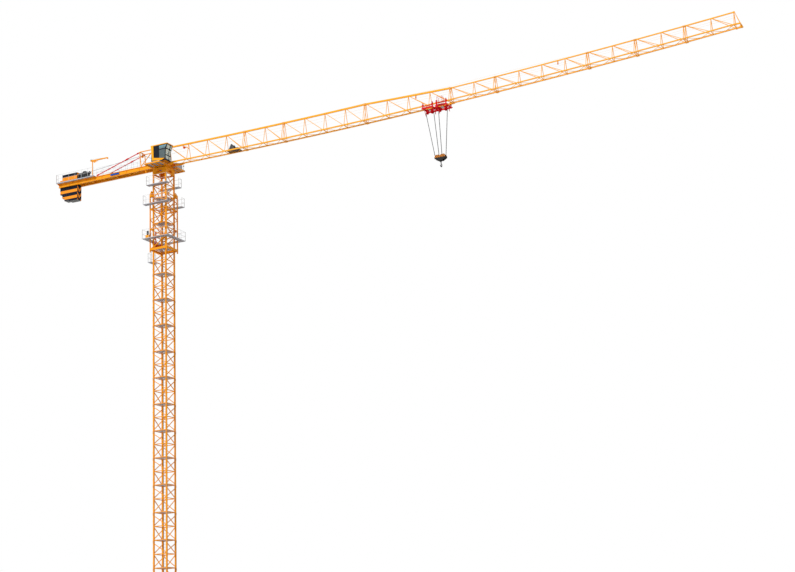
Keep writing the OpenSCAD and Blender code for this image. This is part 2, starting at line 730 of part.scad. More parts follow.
module derrick_post() color(orange) translate([derrick_x, -cj_w / 2, deck_top + seat]) {
    cylinder(d = 22, h = 5, $fn = round_fn);
    cylinder(d = 11, h = derrick_h, $fn = round_fn);
}

// Arm that turns on the post, with a knee brace and a rope pulley
module derrick_arm() color(orange)
    translate([derrick_x, -cj_w / 2, deck_top + seat + derrick_h + ring_gap]) {
        cylinder(d = 16, h = 24, $fn = round_fn);
        plate_xz(0, 12, [[-26, 9], [-26, 21], [10, 22], [derrick_len, 20], [derrick_len, 9], [60, 8]]);
        bar([5, 0, 3], [70, 0, 10], 6);
        round_y([derrick_len - 5, 0, 9], 10, 12);
    }

// Rope drum between two side plates, with its gearbox and motor
module hoist_winch() {
    z = deck_top + seat;
    x = winch_x;
    drum_len = 118;
    plate_t = 6;
    axle = z + 54;
    end = x + drum_len + plate_t;
    color(grey) {
        for (dx = [0, drum_len]) plate_yz(x + dx, plate_t, [[-46, z], [46, z], [46, z + 30], [22, z + 75],
            [-22, z + 75], [-46, z + 30]]);
        box([x, -46, z], [end, 46, z + 6]);
        for (dx = [plate_t + 2, drum_len - 6]) round_x([x + dx, 0, axle], 42, 4);
        round_x([x + 3, 0, axle], 31, drum_len);
    }
    color(black) {
        box([end - 1, -26, z + 26], [end + 24, 26, z + 90]);
        round_x([end + 23, 0, axle + 6], 22, 42);
        box([end - 1, -24, z], [end + 58, 24, z + 27]);
    }
}

// Slabs that stand between the beams, held by the shoulders of their heads
module ballast_slabs() color(concrete)
    for (i = [0 : n_slabs - 1]) {
        x = slab_x + i * slab_pitch;
        low = cj_z - slab_drop * (1 - slab_short[i]);
        rise = i == 0 ? first_slab_rise : slab_rise;
        head = slab_half + head_lap;
        plate_yz(x, slab_pitch - seam, [[-slab_half, low], [slab_half, low], [slab_half, cj_top + seat],
            [head, cj_top + seat], [head, cj_top + rise], [-head, cj_top + rise],
            [-head, cj_top + seat], [-slab_half, cj_top + seat]]);
    }

// Side view of the cab's body, drawn in by the thickness of a wall
function cab_side(d) = [
    [body_x + d, cab_z + d], [chin_x, cab_z + d], [nose_x - d, cab_z + chin + d],
    [nose_x - d, bend_z], [brow_x - d, body_top - d], [body_x + d, body_top - d]];

// Outline of one side window, drawn in by a gap, between two heights above the floor
function side_window(low, high, gap) = let (sill = low == 0 ? side_sill : [low, low]) concat(
    [[window_x + gap, cab_z + sill[0] + gap], [nose_x - pillar - gap, cab_z + sill[1] + gap]],
    sill[1] < bend_h ? [[nose_x - pillar - gap, bend_z]] : [],
    [[front_x(cab_z + high) - pillar - gap, cab_z + high - gap], [window_x + gap, cab_z + high - gap]]);

// Heights at which a front pane is drawn, with the bend where it lies between them
function pane_heights(low, high) = low < bend_h && high > bend_h ? [low, bend_h, high] : [low, high];

// Outline of one front pane in side view, following the front
function front_pane(low, high) = let (hs = pane_heights(low, high), n = len(hs) - 1) concat(
    [for (h = hs) [front_x(cab_z + h) - 1, cab_z + h]],
    [for (i = [0 : n]) [front_x(cab_z + hs[n - i]) - 1 - pane_t, cab_z + hs[n - i]]]);

// Ranges across the cab of the two front panes, drawn in by a gap
function front_ranges(gap) = [
    [body_y[0] + pillar + gap, front_split - mullion_w / 2 - gap],
    [front_split + mullion_w / 2 + gap, body_y[1] - pillar - gap]];

// Hollow body with its window openings, closed behind the side windows
module cab_body() color(navy)
    difference() {
        plate_xz((body_y[0] + body_y[1]) / 2, body_y[1] - body_y[0], cab_side(0));
        plate_xz((body_y[0] + body_y[1]) / 2, body_y[1] - body_y[0] - 2 * cab_wall, cab_side(cab_wall));
        for (v = side_panes)
            plate_xz((body_y[0] + body_y[1]) / 2, body_y[1] - body_y[0] + 2, side_window(v[0], v[1], 0));
        for (v = front_panes, y = front_ranges(0))
            box([nose_x - 2 * cab_wall, y[0], cab_z + v[0]], [cab_end, y[1], cab_z + v[1]]);
    }

module cab_glazing() color(glass) {
    for (y = [body_y[0] + 1 + pane_t / 2, body_y[1] - 1 - pane_t / 2], v = side_panes)
        plate_xz(y, pane_t, side_window(v[0], v[1], seat));
    for (v = front_panes, y = front_ranges(seat))
        plate_xz((y[0] + y[1]) / 2, y[1] - y[0], front_pane(v[0] + seat, v[1] - seat));
}

// Roof and the bands that frame the cab on both sides
module cab_frame() color(orange) {
    under = cab_top - roof_h;
    for (y = [cab_y + frame_t / 2, cab_y1 - frame_t / 2])
        plate_xz(y, frame_t, [[cab_x, cab_top], [cab_end, cab_top], [brow_x, under], [cab_x + rear_band, under - 1],
            [cab_x + rear_band + 5, cab_z + 51], [nose_x - 8, cab_z + 24.5], [nose_x - 48, cab_z + 10],
            [cab_x + 21, cab_z + 21]]);
    box([cab_x, cab_y, under], [cab_end, cab_y1, cab_top]);
}

// Driver's seat between two consoles
module cab_seat() color(black) {
    x = window_x - 8;
    y = (cab_y + cab_y1) / 2;
    z = cab_z + cab_wall + seat;
    box([x - 8, y - 10, z], [x + 24, y + 10, z + 30]);
    box([x - 22, y - 24, z + 29], [x + 34, y + 24, z + 44]);
    box([x - 24, y - 22, z + 43], [x - 12, y + 22, z + 112]);
    for (s = [-1, 1]) {
        box([x - 4, y + s * 34 - 7, z], [x + 40, y + s * 34 + 7, z + 62]);
        box([x - 2, y + s * 33 - 8, z + 32], [x + 12, y + s * 23 + s * 4 - 4, z + 38]);
    }
}

// One triangular jib section between two pinned joints
module jib_section(i) color(orange) {
    n = jib_panels[i];
    x0 = jib_start(i) + seam;
    x1 = jib_start(i) + n / 2 * bay - seam;
    td = jib_top_d(i);
    y = jib_w / 2;
    web_y = y - 4;
    thin_d = web_d - 0.5;
    xs = [for (j = [0 : n]) j == 0 ? x0 + 10 : j == n ? x1 - 10 : x0 + (x1 - x0) * j / n + node_shift];
    zl = [for (x = xs) chord_z(x)];
    zt = [for (x = xs) chord_z(x) + jib_height(i, (x - x0) / (x1 - x0))];
    low_h = i > tapered ? low_h_out : low_d;
    chord_x = [for (j = [0 : n]) j == 0 ? x0 : j == n ? x1 : xs[j]];
    for (s = [-1, 1])
        chord([for (x = chord_x) [x, chord_z(x) + (low_d - low_h) / 2]], s * y, low_d, low_h);
    chord([for (x = chord_x) [x, chord_z(x) + jib_height(i, (x - x0) / (x1 - x0))]], 0, td, td);
    for (j = [0 : n]) {
        for (s = [-1, 1]) bar([xs[j], s * web_y, zl[j]], [xs[j], 0, zt[j]], web_d, 6);
        bar([xs[j], -y, zl[j]], [xs[j], y, zl[j]], thin_d);
    }
    for (j = [0 : n - 1]) {
        for (s = [-1, 1])
            bar([xs[j] + web_d, 0, zt[j]], [xs[j + 1] - web_d, s * web_y, zl[j + 1]], thin_d, 6);
        mid = [(xs[j] + xs[j + 1]) / 2, y, (zl[j] + zl[j + 1]) / 2];
        bar([xs[j], -y, zl[j]], mid, 3.5);
        bar(mid, [xs[j + 1], -y, zl[j + 1]], 3.5);
    }
    for (end = [0, n]) {
        xe = end == 0 ? x0 : x1 - lug_len;
        box([xe, -td / 2 - 3, zt[end] - td / 2 - 4], [xe + lug_len, td / 2 + 3, zt[end] + td / 2 + 1]);
        for (s = [-1, 1])
            box([xe, s * y - low_d / 2 - 1.5, zl[end] - low_d / 2 - 3],
                [xe + lug_len, s * y + low_d / 2 + 1.5, zl[end] + low_d / 2 - 1]);
    }
    if (i == n_jib - 1) jib_tip(x1, chord_z(x1), chord_z(x1) + jib_height(i, 1));
}

// Chord through the points of a line, with its width and height
module chord(line, y, width, height) {
    n = len(line);
    h = height / 2;
    plate_xz(y, width, [for (p = line) [p[0], p[1] - h], for (k = [1 : n]) [line[n - k][0], line[n - k][1] + h]]);
}

// Slanted end frame with the rope pulley
module jib_tip(x, z_low, z_top) {
    y = jib_w / 2;
    out = x + 56;
    d = low_d / 2;
    for (s = [-1, 1]) {
        box([x - 4, s * y - d, z_low - d], [out, s * y + d, z_low + d]);
        bar([x - 4, 0, z_top], [out - 6, s * y, z_low], web_d - 1, 6);
    }
    box([out - 10, -y, z_low - d], [out, y, z_low + d]);
    round_y([out - 10, 0, z_low - 13], 14, 12);
}

// Trolley winch on a plate that lies on the lower chords, between the trolley's wheels
module trolley_winch() {
    x = winch2_x;
    plate_y = jib_w / 2 - low_d / 2 + 2;
    z = max(chord_z(x - 72), chord_z(x + 92)) + low_d / 2 + seat + 0.1;
    axle = z + 32;
    color(grey) box([x - 72, -plate_y, z], [x + 92, plate_y, z + 4]);
    color(black) {
        for (s = [-1, 1])
            plate_xz(s * 27, 4, [[x - 40, z + 3], [x + 40, z + 3], [x + 8, z + 70], [x - 8, z + 70]]);
        round_y([x, 0, axle], 24, 54);
        for (s = [-1, 1]) round_y([x, s * 22, axle], 28, 3);
        round_y([x + 4, 0, z + 62], 4, 54);
        round_x([x + 30, 0, z + 16], 12, 44);
        box([x + 20, -12, z + 3], [x + 62, 12, z + 16]);
    }
}

// Frame of one trolley half: side plates, cross bars, arms with their wheels on the chords
module trolley_half(x0) {
    y = trolley_y;
    x1 = x0 + trolley_len;
    plate_t = 5;
    arm_w = 12;
    for (s = [-1, 1]) {
        side = [min(s * y, s * (y + plate_t)), max(s * y, s * (y + plate_t))];
        box([x0, side[0], frame_bottom], [x1, side[1], frame_bottom + 20]);
        box([x0 - 6, side[0], frame_bottom + 4], [x0 + 1, side[1], frame_bottom + 14]);
        box([x1 - 1, side[0], frame_bottom + 4], [x1 + 6, side[1], frame_bottom + 14]);
        for (x = [x0 + 2, x1 - 2 - arm_w]) {
            wheel = chord_z(x + arm_w / 2) + low_d / 2 + wheel_r + seat + 0.1;
            box([x, side[0], frame_bottom + 16], [x + arm_w, side[1], wheel + wheel_r + 4]);
            round_y([x + arm_w / 2, s * (y + plate_t / 2 - (arm_gap + 8) / 2), wheel], wheel_r, arm_gap + 8);
        }
    }
    for (x = [x0 + 4, x1 - 12]) box([x, -y - 1, frame_bottom + 2], [x + 8, y + 1, frame_bottom + 16]);
}

// Two frames joined by link bars, with the four rope sheaves between hanger plates
module trolley() color(red) {
    x = frame_x;
    for (x0 = x) trolley_half(x0);
    bars = [frame_bottom + 4, frame_bottom + 14];
    for (s = [-1, 1]) {
        box([x[0] + trolley_len - 6, s * 34 - 4, bars[0]], [x[1] + 6, s * 34 + 4, bars[1]]);
        box([x[0] + 4, s * 12 - 2, bars[0]], [x[1] + trolley_len - 4, s * 12 + 2, bars[1]]);
    }
    axle = hoist_z + 2;
    for (i = [0 : 3]) {
        sx = trolley_x + fall_top_x[i] + (i % 2 == 0 ? 1 : -1) * (sheave_r + fall_side);
        for (s = [-1, 1]) {
            round_y([sx, s * rope_pair / 2, axle], sheave_r, 6);
            plate_xz(s * 11, 5, [[sx - 5, axle - 6], [sx + 5, axle - 6],
                [sx + 14, bars[0] + 1], [sx - 14, bars[0] + 1]]);
        }
        round_y([sx, 0, axle], 3, 28);
    }
}

// Railed basket for a mechanic, hung on the second trolley frame
module trolley_basket() color(red) {
    x0 = basket_x[0];
    x1 = basket_x[1];
    y0 = basket_y - basket_w;
    z = frame_bottom;
    post = 3;
    box([x0, y0, z], [x1, basket_y, z + 4]);
    for (x = [x0, x1 - post], y = [y0, basket_y - post]) box([x, y, z], [x + post, y + post, z + basket_h]);
    for (h = [basket_h / 2, basket_h]) {
        for (y = [y0, basket_y - rail_d]) box([x0, y, z + h - rail_d], [x1, y + rail_d, z + h]);
        for (x = [x0, x1 - rail_d]) box([x, y0, z + h - rail_d], [x + rail_d, basket_y, z + h]);
    }
}

module hoist_falls() color(grey)
    for (i = [0 : 3], y = [-rope_pair / 2, rope_pair / 2])
        bar([trolley_x + fall_top_x[i], y, hoist_z], [trolley_x + fall_low_x[i], y, block_axle], rope_d, 6);

// Two cheek plates with two pairs of sheaves and a crosshead for the hook
module hook_block() {
    l = block_len / 2;
    gap = 18;
    cheek = 6;
    low = block_top - block_h;
    color(black) {
        for (s = [-1, 1]) plate_xz(s * (gap + cheek / 2), cheek, [for (p = [[-l, -16], [-l + 12, 5], [-10, 5],
            [0, -8], [10, 5], [l - 12, 5], [l, -16], [l, -36], [22, -block_h], [-22, -block_h], [-l, -36]])
                [block_x + p[0], block_top + p[1]]]);
        box([block_x - 20, -gap - 0.5, low], [block_x + 20, gap + 0.5, low + 11]);
        for (sx = [-1, 1]) round_y([block_x + sx * block_sheave_x, 0, block_axle], 4, 2 * gap + 2);
    }
    color(grey) for (sx = [-1, 1], y = [-rope_pair / 2, rope_pair / 2])
        round_y([block_x + sx * block_sheave_x, y, block_axle], block_sheave_r, 6);
}

// Shank with a nut, and the round hook below it, open towards -Y
module hook() color(black) translate([block_x, 0, hook_z]) rotate([0, 0, -90]) {
    hook_d = 9;
    translate([0, 0, -16]) cylinder(d = 15, h = 16, $fn = round_fn);
    translate([0, 0, -hook_drop + hook_r]) cylinder(d = hook_d, h = hook_drop - hook_r, $fn = round_fn);
    translate([0, 0, -hook_drop]) rotate([90, 0, 0]) rotate([0, 0, 90])
        rotate_extrude(angle = 265, $fn = 64) translate([hook_r, 0]) circle(d = hook_d, $fn = round_fn);
}

base_frame();
for (k = [0 : n_sections - 1]) mast_section(k);
mast_landings();
mast_ladders();
climbing_cage();
mast_walkways();
mast_railings();
climbing_gear();
power_pack();
slewing_support();
slewing_ring();
turntable();
deck_gratings();
upper_railings();
drive_cabinet();
tower_head();
counter_jib();
tie_rods();
derrick_post();
derrick_arm();
hoist_winch();
ballast_slabs();
cab_body();
cab_frame();
cab_glazing();
cab_seat();
for (i = [0 : n_jib - 1]) jib_section(i);
trolley_winch();
trolley();
trolley_basket();
hoist_falls();
hook_block();
hook();
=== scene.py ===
"""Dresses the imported 1:10 tower crane: its finishes, ropes, lamps, bolts, seat and the finer steelwork."""
import json
import logging
import math
from dataclasses import dataclass, field
from enum import Enum
from itertools import product
from typing import Any, Callable, Iterable, Sequence

import bpy
import numpy as np
from mathutils import Matrix, Vector


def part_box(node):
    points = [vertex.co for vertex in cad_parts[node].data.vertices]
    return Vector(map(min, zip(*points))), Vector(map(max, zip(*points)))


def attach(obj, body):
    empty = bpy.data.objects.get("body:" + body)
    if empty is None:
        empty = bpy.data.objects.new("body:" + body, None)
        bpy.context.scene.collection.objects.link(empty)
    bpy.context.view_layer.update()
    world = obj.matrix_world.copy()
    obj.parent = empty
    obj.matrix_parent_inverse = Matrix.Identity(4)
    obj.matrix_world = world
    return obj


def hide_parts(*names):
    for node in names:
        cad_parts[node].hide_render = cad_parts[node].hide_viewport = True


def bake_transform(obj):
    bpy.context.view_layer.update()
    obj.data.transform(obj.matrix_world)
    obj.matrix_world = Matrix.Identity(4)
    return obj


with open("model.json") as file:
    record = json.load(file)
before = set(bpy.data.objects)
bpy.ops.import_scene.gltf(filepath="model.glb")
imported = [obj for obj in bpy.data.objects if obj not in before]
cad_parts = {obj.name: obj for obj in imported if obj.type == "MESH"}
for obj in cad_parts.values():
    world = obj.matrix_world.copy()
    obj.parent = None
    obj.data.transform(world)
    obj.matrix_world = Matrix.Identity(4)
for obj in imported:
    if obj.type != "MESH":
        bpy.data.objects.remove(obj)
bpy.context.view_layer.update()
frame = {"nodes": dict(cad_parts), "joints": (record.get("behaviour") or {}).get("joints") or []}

LOG = logging.getLogger("tower_crane")
MM = 0.001


class Body(str, Enum):
    """The moving bodies of the crane."""

    MAST = "mast"
    UPPERWORKS = "upperworks"
    DERRICK = "derrick"
    TROLLEY = "trolley"
    BLOCK = "hook_block"
    HOOK = "hook"


class Slot(str, Enum):
    """The record's material slots."""

    ORANGE = "orange_paint"
    GALVANISED = "galvanised_steel"
    RED = "red_paint"
    DARK = "dark_paint"
    CONCRETE = "painted_concrete"
    GLASS = "cab_glass"
    CLOTH = "seat_cloth"
    ROPE = "wire_rope"
    BLACK = "black_paint"
    NAVY = "navy_paint"


def linear(colour: str) -> tuple[float, float, float, float]:
    """Turns a written colour into the linear values that a shader takes.

    Args:
        colour: Six hexadecimal digits, as on a colour card.

    Returns:
        Red, green, blue and a full alpha.
    """
    parts = [int(colour[i:i + 2], 16) / 255 for i in (0, 2, 4)]
    levels = [p / 12.92 if p <= 0.04045 else ((p + 0.055) / 1.055) ** 2.4 for p in parts]
    return (*levels, 1.0)


class Wire:
    """One output of a shader node. Its operators add the Math nodes that they stand for."""

    def __init__(self, recipe: "Recipe", socket: bpy.types.NodeSocket) -> None:
        """Keeps the recipe that owns the socket."""
        self.recipe = recipe
        self.socket = socket

    def _math(self, operation: str, *values: Any) -> "Wire":
        """Adds one Math node and returns its result."""
        node = self.recipe.node("ShaderNodeMath", {"operation": operation}, dict(enumerate(values)))
        return Wire(self.recipe, node.outputs[0])

    def __add__(self, other: Any) -> "Wire":
        """Sum."""
        return self._math("ADD", self, other)

    __radd__ = __add__

    def __mul__(self, other: Any) -> "Wire":
        """Product."""
        return self._math("MULTIPLY", self, other)

    __rmul__ = __mul__

    def __sub__(self, other: Any) -> "Wire":
        """Difference."""
        return self._math("SUBTRACT", self, other)

    def __rsub__(self, other: Any) -> "Wire":
        """Difference with the wire as the second term."""
        return self._math("SUBTRACT", other, self)

    def __truediv__(self, other: Any) -> "Wire":
        """Quotient."""
        return self._math("DIVIDE", self, other)

    def __mod__(self, other: Any) -> "Wire":
        """Remainder, always from nought up to the divisor."""
        return self._math("FLOORED_MODULO", self, other)

    def __gt__(self, other: Any) -> "Wire":
        """One where the wire is greater, else nought."""
        return self._math("GREATER_THAN", self, other)

    def __lt__(self, other: Any) -> "Wire":
        """One where the wire is less, else nought."""
        return self._math("LESS_THAN", self, other)

    def __abs__(self) -> "Wire":
        """Size without sign."""
        return self._math("ABSOLUTE", self)

    def sine(self) -> "Wire":
        """Sine of an angle in radians."""
        return self._math("SINE", self)

    def step(self, low: float, high: float) -> "Wire":
        """Rises smoothly from nought at low to one at high."""
        node = self.recipe.node("ShaderNodeMapRange", {"interpolation_type": "SMOOTHSTEP"},
                                {"Value": self, "From Min": low, "From Max": high})
        return Wire(self.recipe, node.outputs[0])


class Recipe:
    """The node tree of one material, ending in one Principled shader."""

    def __init__(self, name: str) -> None:
        """Makes the material with an empty tree and its shader."""
        self.material = bpy.data.materials.new(name)
        self.material.use_nodes = True
        self.tree = self.material.node_tree
        self.tree.nodes.clear()
        self.shader = self.node("ShaderNodeBsdfPrincipled")
        output = self.node("ShaderNodeOutputMaterial")
        self.tree.links.new(self.shader.outputs[0], output.inputs["Surface"])
        self.place = self.out("ShaderNodeTexCoord", output="Object")

    def node(self, kind: str, settings: dict[str, Any] | None = None,
             sockets: dict[Any, Any] | None = None) -> bpy.types.Node:
        """Adds a node.

        Args:
            kind: The node's type.
            settings: Its own settings, set first; "stops" holds a ramp's places and colours.
            sockets: Values or wires for its inputs, by name or number.

        Returns:
            The node.
        """
        node = self.tree.nodes.new(kind)
        for key, value in (settings or {}).items():
            if key == "stops":
                ramp = node.color_ramp.elements
                while len(ramp) < len(value):
                    ramp.new(1.0)
                for element, (position, colour) in zip(ramp, value):
                    element.position = position
                    element.color = colour
            else:
                setattr(node, key, value)
        for key, value in (sockets or {}).items():
            if isinstance(value, Wire):
                self.tree.links.new(value.socket, node.inputs[key])
            else:
                node.inputs[key].default_value = value
        return node

    def out(self, kind: str, settings: dict[str, Any] | None = None,
            sockets: dict[Any, Any] | None = None, output: Any = 0) -> Wire:
        """Adds a node and returns one of its outputs."""
        return Wire(self, self.node(kind, settings, sockets).outputs[output])

    def noise(self, scale: float, detail: float = 3.0, stretch: Sequence[float] = (1, 1, 1)) -> Wire:
        """Soft noise with that many waves a metre, stretched along the axes."""
        place = self.place
        if tuple(stretch) != (1, 1, 1):
            place = self.out("ShaderNodeMapping", None, {"Vector": self.place, "Scale": tuple(stretch)})
        return self.out("ShaderNodeTexNoise", None, {"Vector": place, "Scale": scale, "Detail": detail})

    def parts_of(self, vector: Wire) -> tuple[Wire, Wire, Wire]:
        """The three numbers of a vector."""
        node = self.node("ShaderNodeSeparateXYZ", None, {0: vector})
        return tuple(Wire(self, socket) for socket in node.outputs)

    def axes(self) -> tuple[Wire, Wire, Wire]:
        """The piece's own x, y and z in metres."""
        return self.parts_of(self.place)

    def facing(self) -> tuple[Wire, Wire, Wire]:
        """The surface's normal, by axis."""
        return self.parts_of(self.out("ShaderNodeNewGeometry", output="Normal"))

    def blend(self, mask: Any, low: Any, high: Any) -> Wire:
        """Colour that goes from low to high with the mask."""
        colours = {6: linear(low) if isinstance(low, str) else low,
                   7: linear(high) if isinstance(high, str) else high}
        return self.out("ShaderNodeMix", {"data_type": "RGBA"}, {0: mask, **colours}, 2)

    def bump(self, height: Wire, depth: float) -> None:
        """Sends a height, in parts of depth metres, to the shader's normal."""
        self.feed({"Normal": self.out("ShaderNodeBump", None, {"Height": height, "Distance": depth})})

    def feed(self, sockets: dict[str, Any]) -> None:
        """Sets values or wires on the shader itself."""
        for key, value in sockets.items():
            if isinstance(value, Wire):
                self.tree.links.new(value.socket, self.shader.inputs[key])
            else:
                self.shader.inputs[key].default_value = value


@dataclass(frozen=True)
class SteelPaint:
    """Paint on welded steel, with dust on top, rain streaks down the sides and small chips.

    Attributes:
        name: The material's name.
        colour: The paint as sprayed.
        deep: The same paint in streaks and hollows.
        roughness: The roughness of clean paint.
        dust: How much of the upper faces the dust covers.
        chips: How much bare metal shows.
        gloss: Level of the paint's mirror reflection.
        dust_colour: The dust.
        chip_colour: Primer and rust in the chips.
    """

    name: str
    colour: str
    deep: str
    roughness: float = 0.42
    dust: float = 0.10
    chips: float = 0.10
    gloss: float = 0.14
    dust_colour: str = "b9a98c"
    chip_colour: str = "4a4138"

    def material(self) -> bpy.types.Material:
        """Clouds darken the paint, tall thin noise streaks it, and dust gathers where a face looks up."""
        recipe = Recipe(self.name)
        return self.finish(recipe, linear(self.colour), linear(self.deep))

    def finish(self, recipe: Recipe, colour: Any, deep: Any) -> bpy.types.Material:
        """Puts this paint's wear over any colour.

        Args:
            recipe: The material's nodes.
            colour: Clean colour, plain or a wire.
            deep: Colour in streaks and hollows, plain or a wire.

        Returns:
            The finished material.
        """
        clouds = recipe.noise(14.0, 4.0)
        streaks = recipe.noise(90.0, 2.0, (1, 1, 0.06))
        specks = recipe.noise(420.0, 2.0)
        up = recipe.facing()[2]
        worn = (clouds * 0.55 + streaks * 0.45).step(0.46, 0.68)
        paint = recipe.blend(worn * 0.45, colour, deep)
        dusty = up.step(0.3, 0.95) * clouds.step(0.35, 0.65) * self.dust
        paint = recipe.blend(dusty, paint, self.dust_colour)
        chipped = specks.step(0.72, 0.76) * clouds.step(0.45, 0.6) * self.chips
        recipe.feed({"Base Color": recipe.blend(chipped, paint, self.chip_colour),
                     "Roughness": worn * 0.18 + dusty * 0.5 + self.roughness,
                     "Specular IOR Level": self.gloss})
        recipe.bump(specks * 0.4 + clouds * 0.6 - chipped, 0.3 * MM)
        return recipe.material


@dataclass(frozen=True)
class Galvanised:
    """Hot-dip galvanised steel with its spangle, as a plain bar or as a pressed grating.

    Attributes:
        name: The material's name.
        light: Colour of the bright crystals.
        dark: Colour of the dull crystals.
        mesh: Width of a grating's mesh in metres, or nought on plain steel.
        hole: Colour of what shows through the mesh.
    """

    name: str
    light: str = "b4b8bc"
    dark: str = "8e9297"
    mesh: float = 0.0
    hole: str = "565b64"

    def material(self) -> bpy.types.Material:
        """Cells of a Voronoi pattern get a grey each; a grating darkens the holes of a square mesh."""
        recipe = Recipe(self.name)
        cells = recipe.node("ShaderNodeTexVoronoi", None, {"Vector": recipe.place, "Scale": 190.0})
        spangle = Wire(recipe, cells.outputs["Color"])
        grey = recipe.out("ShaderNodeRGBToBW", None, {0: spangle})
        stains = recipe.noise(20.0, 4.0).step(0.45, 0.7)
        colour = recipe.blend(grey * 0.7 + stains * 0.3, self.light, self.dark)
        height = grey
        if self.mesh:
            x, y = recipe.axes()[:2]
            level = abs(recipe.facing()[2]) > 0.7
            hole = (abs((x / self.mesh) % 1.0 - 0.5) < 0.34) * (abs((y / self.mesh) % 1.0 - 0.5) < 0.34) * level
            colour = recipe.blend(hole * 0.4, colour, self.hole)
            height = height - hole * 2.0
        recipe.feed({"Base Color": colour, "Metallic": 0.2, "Roughness": grey * 0.15 + 0.5,
                     "Specular IOR Level": 0.3})
        recipe.bump(height, 0.12 * MM)
        return recipe.material


@dataclass(frozen=True)
class BallastPaint(SteelPaint):
    """Orange and navy bands across the ballast slabs, drawn down to chevrons on their wide faces.

    Attributes:
        navy: The dark bands' paint.
        navy_deep: The same paint in streaks and hollows.
        band_top: Height at which the bands under the counter-jib start.
        cap: Height above which the slabs are navy.
        band: Height of one band.
        half: Half the slabs' width.
        slope: How steeply the chevrons fall towards the middle.
        pitch: Thickness of one slab.
        start: Where the first slab starts.
        seam: The joints between the slabs.
        under: Bare concrete under the slabs.
        under_deep: The same concrete in its hollows.
        share: Height of a dark band, as a share of two bands, seen from the side.
        end_share: How much smaller that share is on the faces that look along X.
    """

    navy: str = "020d20"
    navy_deep: str = "010814"
    band_top: float = 6.1445
    cap: float = 6.268
    band: float = 38.9 * MM
    half: float = 39.7 * MM
    slope: float = 1.2
    pitch: float = 31.375 * MM
    start: float = -1.455
    seam: str = "140e08"
    under: str = "7d8287"
    under_deep: str = "5f6468"
    share: float = 0.55
    end_share: float = 0.13

    def material(self) -> bpy.types.Material:
        """Bands by height; on faces that look along X they fall towards the middle and change places."""
        recipe = Recipe(self.name)
        x, y, z = recipe.axes()
        nx, _, nz = recipe.facing()
        along = abs(nx) > 0.7
        drawn = z + along * (self.half - abs(y)) * self.slope
        fall = (self.band_top - drawn) / (self.band * 2) % 1.0
        dark = (fall < self.share - along * self.end_share) * (z < self.band_top)
        dark = dark + (drawn > self.cap) * (z > self.band_top)
        dark = abs(dark - along)
        edge = abs((x - self.start) / self.pitch % 1.0 - 0.5) > 0.475
        joint = edge * (1.0 - along) * 0.3
        colour = recipe.blend(joint, recipe.blend(dark, self.colour, self.navy), self.seam)
        bare = nz < -0.4
        colour = recipe.blend(bare, colour, self.under)
        deep = recipe.blend(bare, recipe.blend(dark, self.deep, self.navy_deep), self.under_deep)
        return self.finish(recipe, colour, deep)


@dataclass(frozen=True)
class StripedPaint(SteelPaint):
    """Black paint with crossed warning stripes on one upper band.

    Attributes:
        stripe: The stripes' colour.
        stripe_deep: The same paint in streaks and hollows.
        low: Height at which the stripes start.
        middle: Where a crossing lies.
        pitch: Distance from one stripe to the next.
        gap: Share of a pitch that stays dark.
    """

    stripe: str = "ff9a12"
    stripe_deep: str = "c06a08"
    low: float = 0.0
    middle: float = 0.0
    pitch: float = 20 * MM
    gap: float = 0.38

    def material(self) -> bpy.types.Material:
        """Diamonds: dark where the sum or the difference of x and height is near a whole pitch."""
        recipe = Recipe(self.name)
        x, _, z = recipe.axes()
        up = (((x - self.middle + z) / self.pitch) % 1.0) > self.gap
        down = (((x - self.middle - z) / self.pitch) % 1.0) > self.gap
        side = abs(recipe.facing()[1]) > 0.5
        mask = up * down * (z > self.low) * side
        colour = recipe.blend(mask, self.colour, self.stripe)
        deep = recipe.blend(mask, self.deep, self.stripe_deep)
        return self.finish(recipe, colour, deep)


@dataclass(frozen=True)
class CabPaint(SteelPaint):
    """Dark paint of the cab's walls, with an orange floor pan inside a dark rim; the pan's orange is darkened as
    painted shade on the underside.

    Attributes:
        pan_with_painted_shade: The floor pan's orange, darkened as painted shade.
        pan_deep_with_painted_shade: The same darkened orange in streaks and hollows, also painted shade.
        low: Low x and y of the floor pan.
        high: High x and y of the floor pan.
        rim: Width of the dark rim.
    """

    # The pan's two oranges are darker than the paint's own: painted shade on the cab's underside.
    pan_with_painted_shade: str = "c77a12"
    pan_deep_with_painted_shade: str = "8a5208"
    low: tuple[float, float] = (-34 * MM, -199.7 * MM)
    high: tuple[float, float] = (159 * MM, -88.3 * MM)
    rim: float = 9 * MM

    def material(self) -> bpy.types.Material:
        """The pan is where a face looks down and x and y lie inside the rim; there the orange is darkened as painted
        shade.
        """
        recipe = Recipe(self.name)
        mask = recipe.facing()[2] < -0.7
        for place, low, high in zip(recipe.axes(), self.low, self.high):
            mask = mask * (abs(place - (low + high) / 2) < (high - low) / 2 - self.rim)
        colour = recipe.blend(mask, self.colour, self.pan_with_painted_shade)
        return self.finish(recipe, colour, recipe.blend(mask, self.deep, self.pan_deep_with_painted_shade))


@dataclass(frozen=True)
class TwoTonePaint(SteelPaint):
    """Two paints that part at one plane.

    Attributes:
        other: Paint past the plane.
        axis: Axis across the plane: 0, 1 or 2.
        place: Where the plane lies, in metres.
    """

    other: str = "2c2d30"
    axis: int = 2
    place: float = 0.0

    def material(self) -> bpy.types.Material:
        """One colour below the plane and the other above it."""
        recipe = Recipe(self.name)
        past = recipe.axes()[self.axis] > self.place
        colour = recipe.blend(past, self.colour, self.other)
        deep = recipe.blend(past, self.deep, self.other)
        return self.finish(recipe, colour, deep)


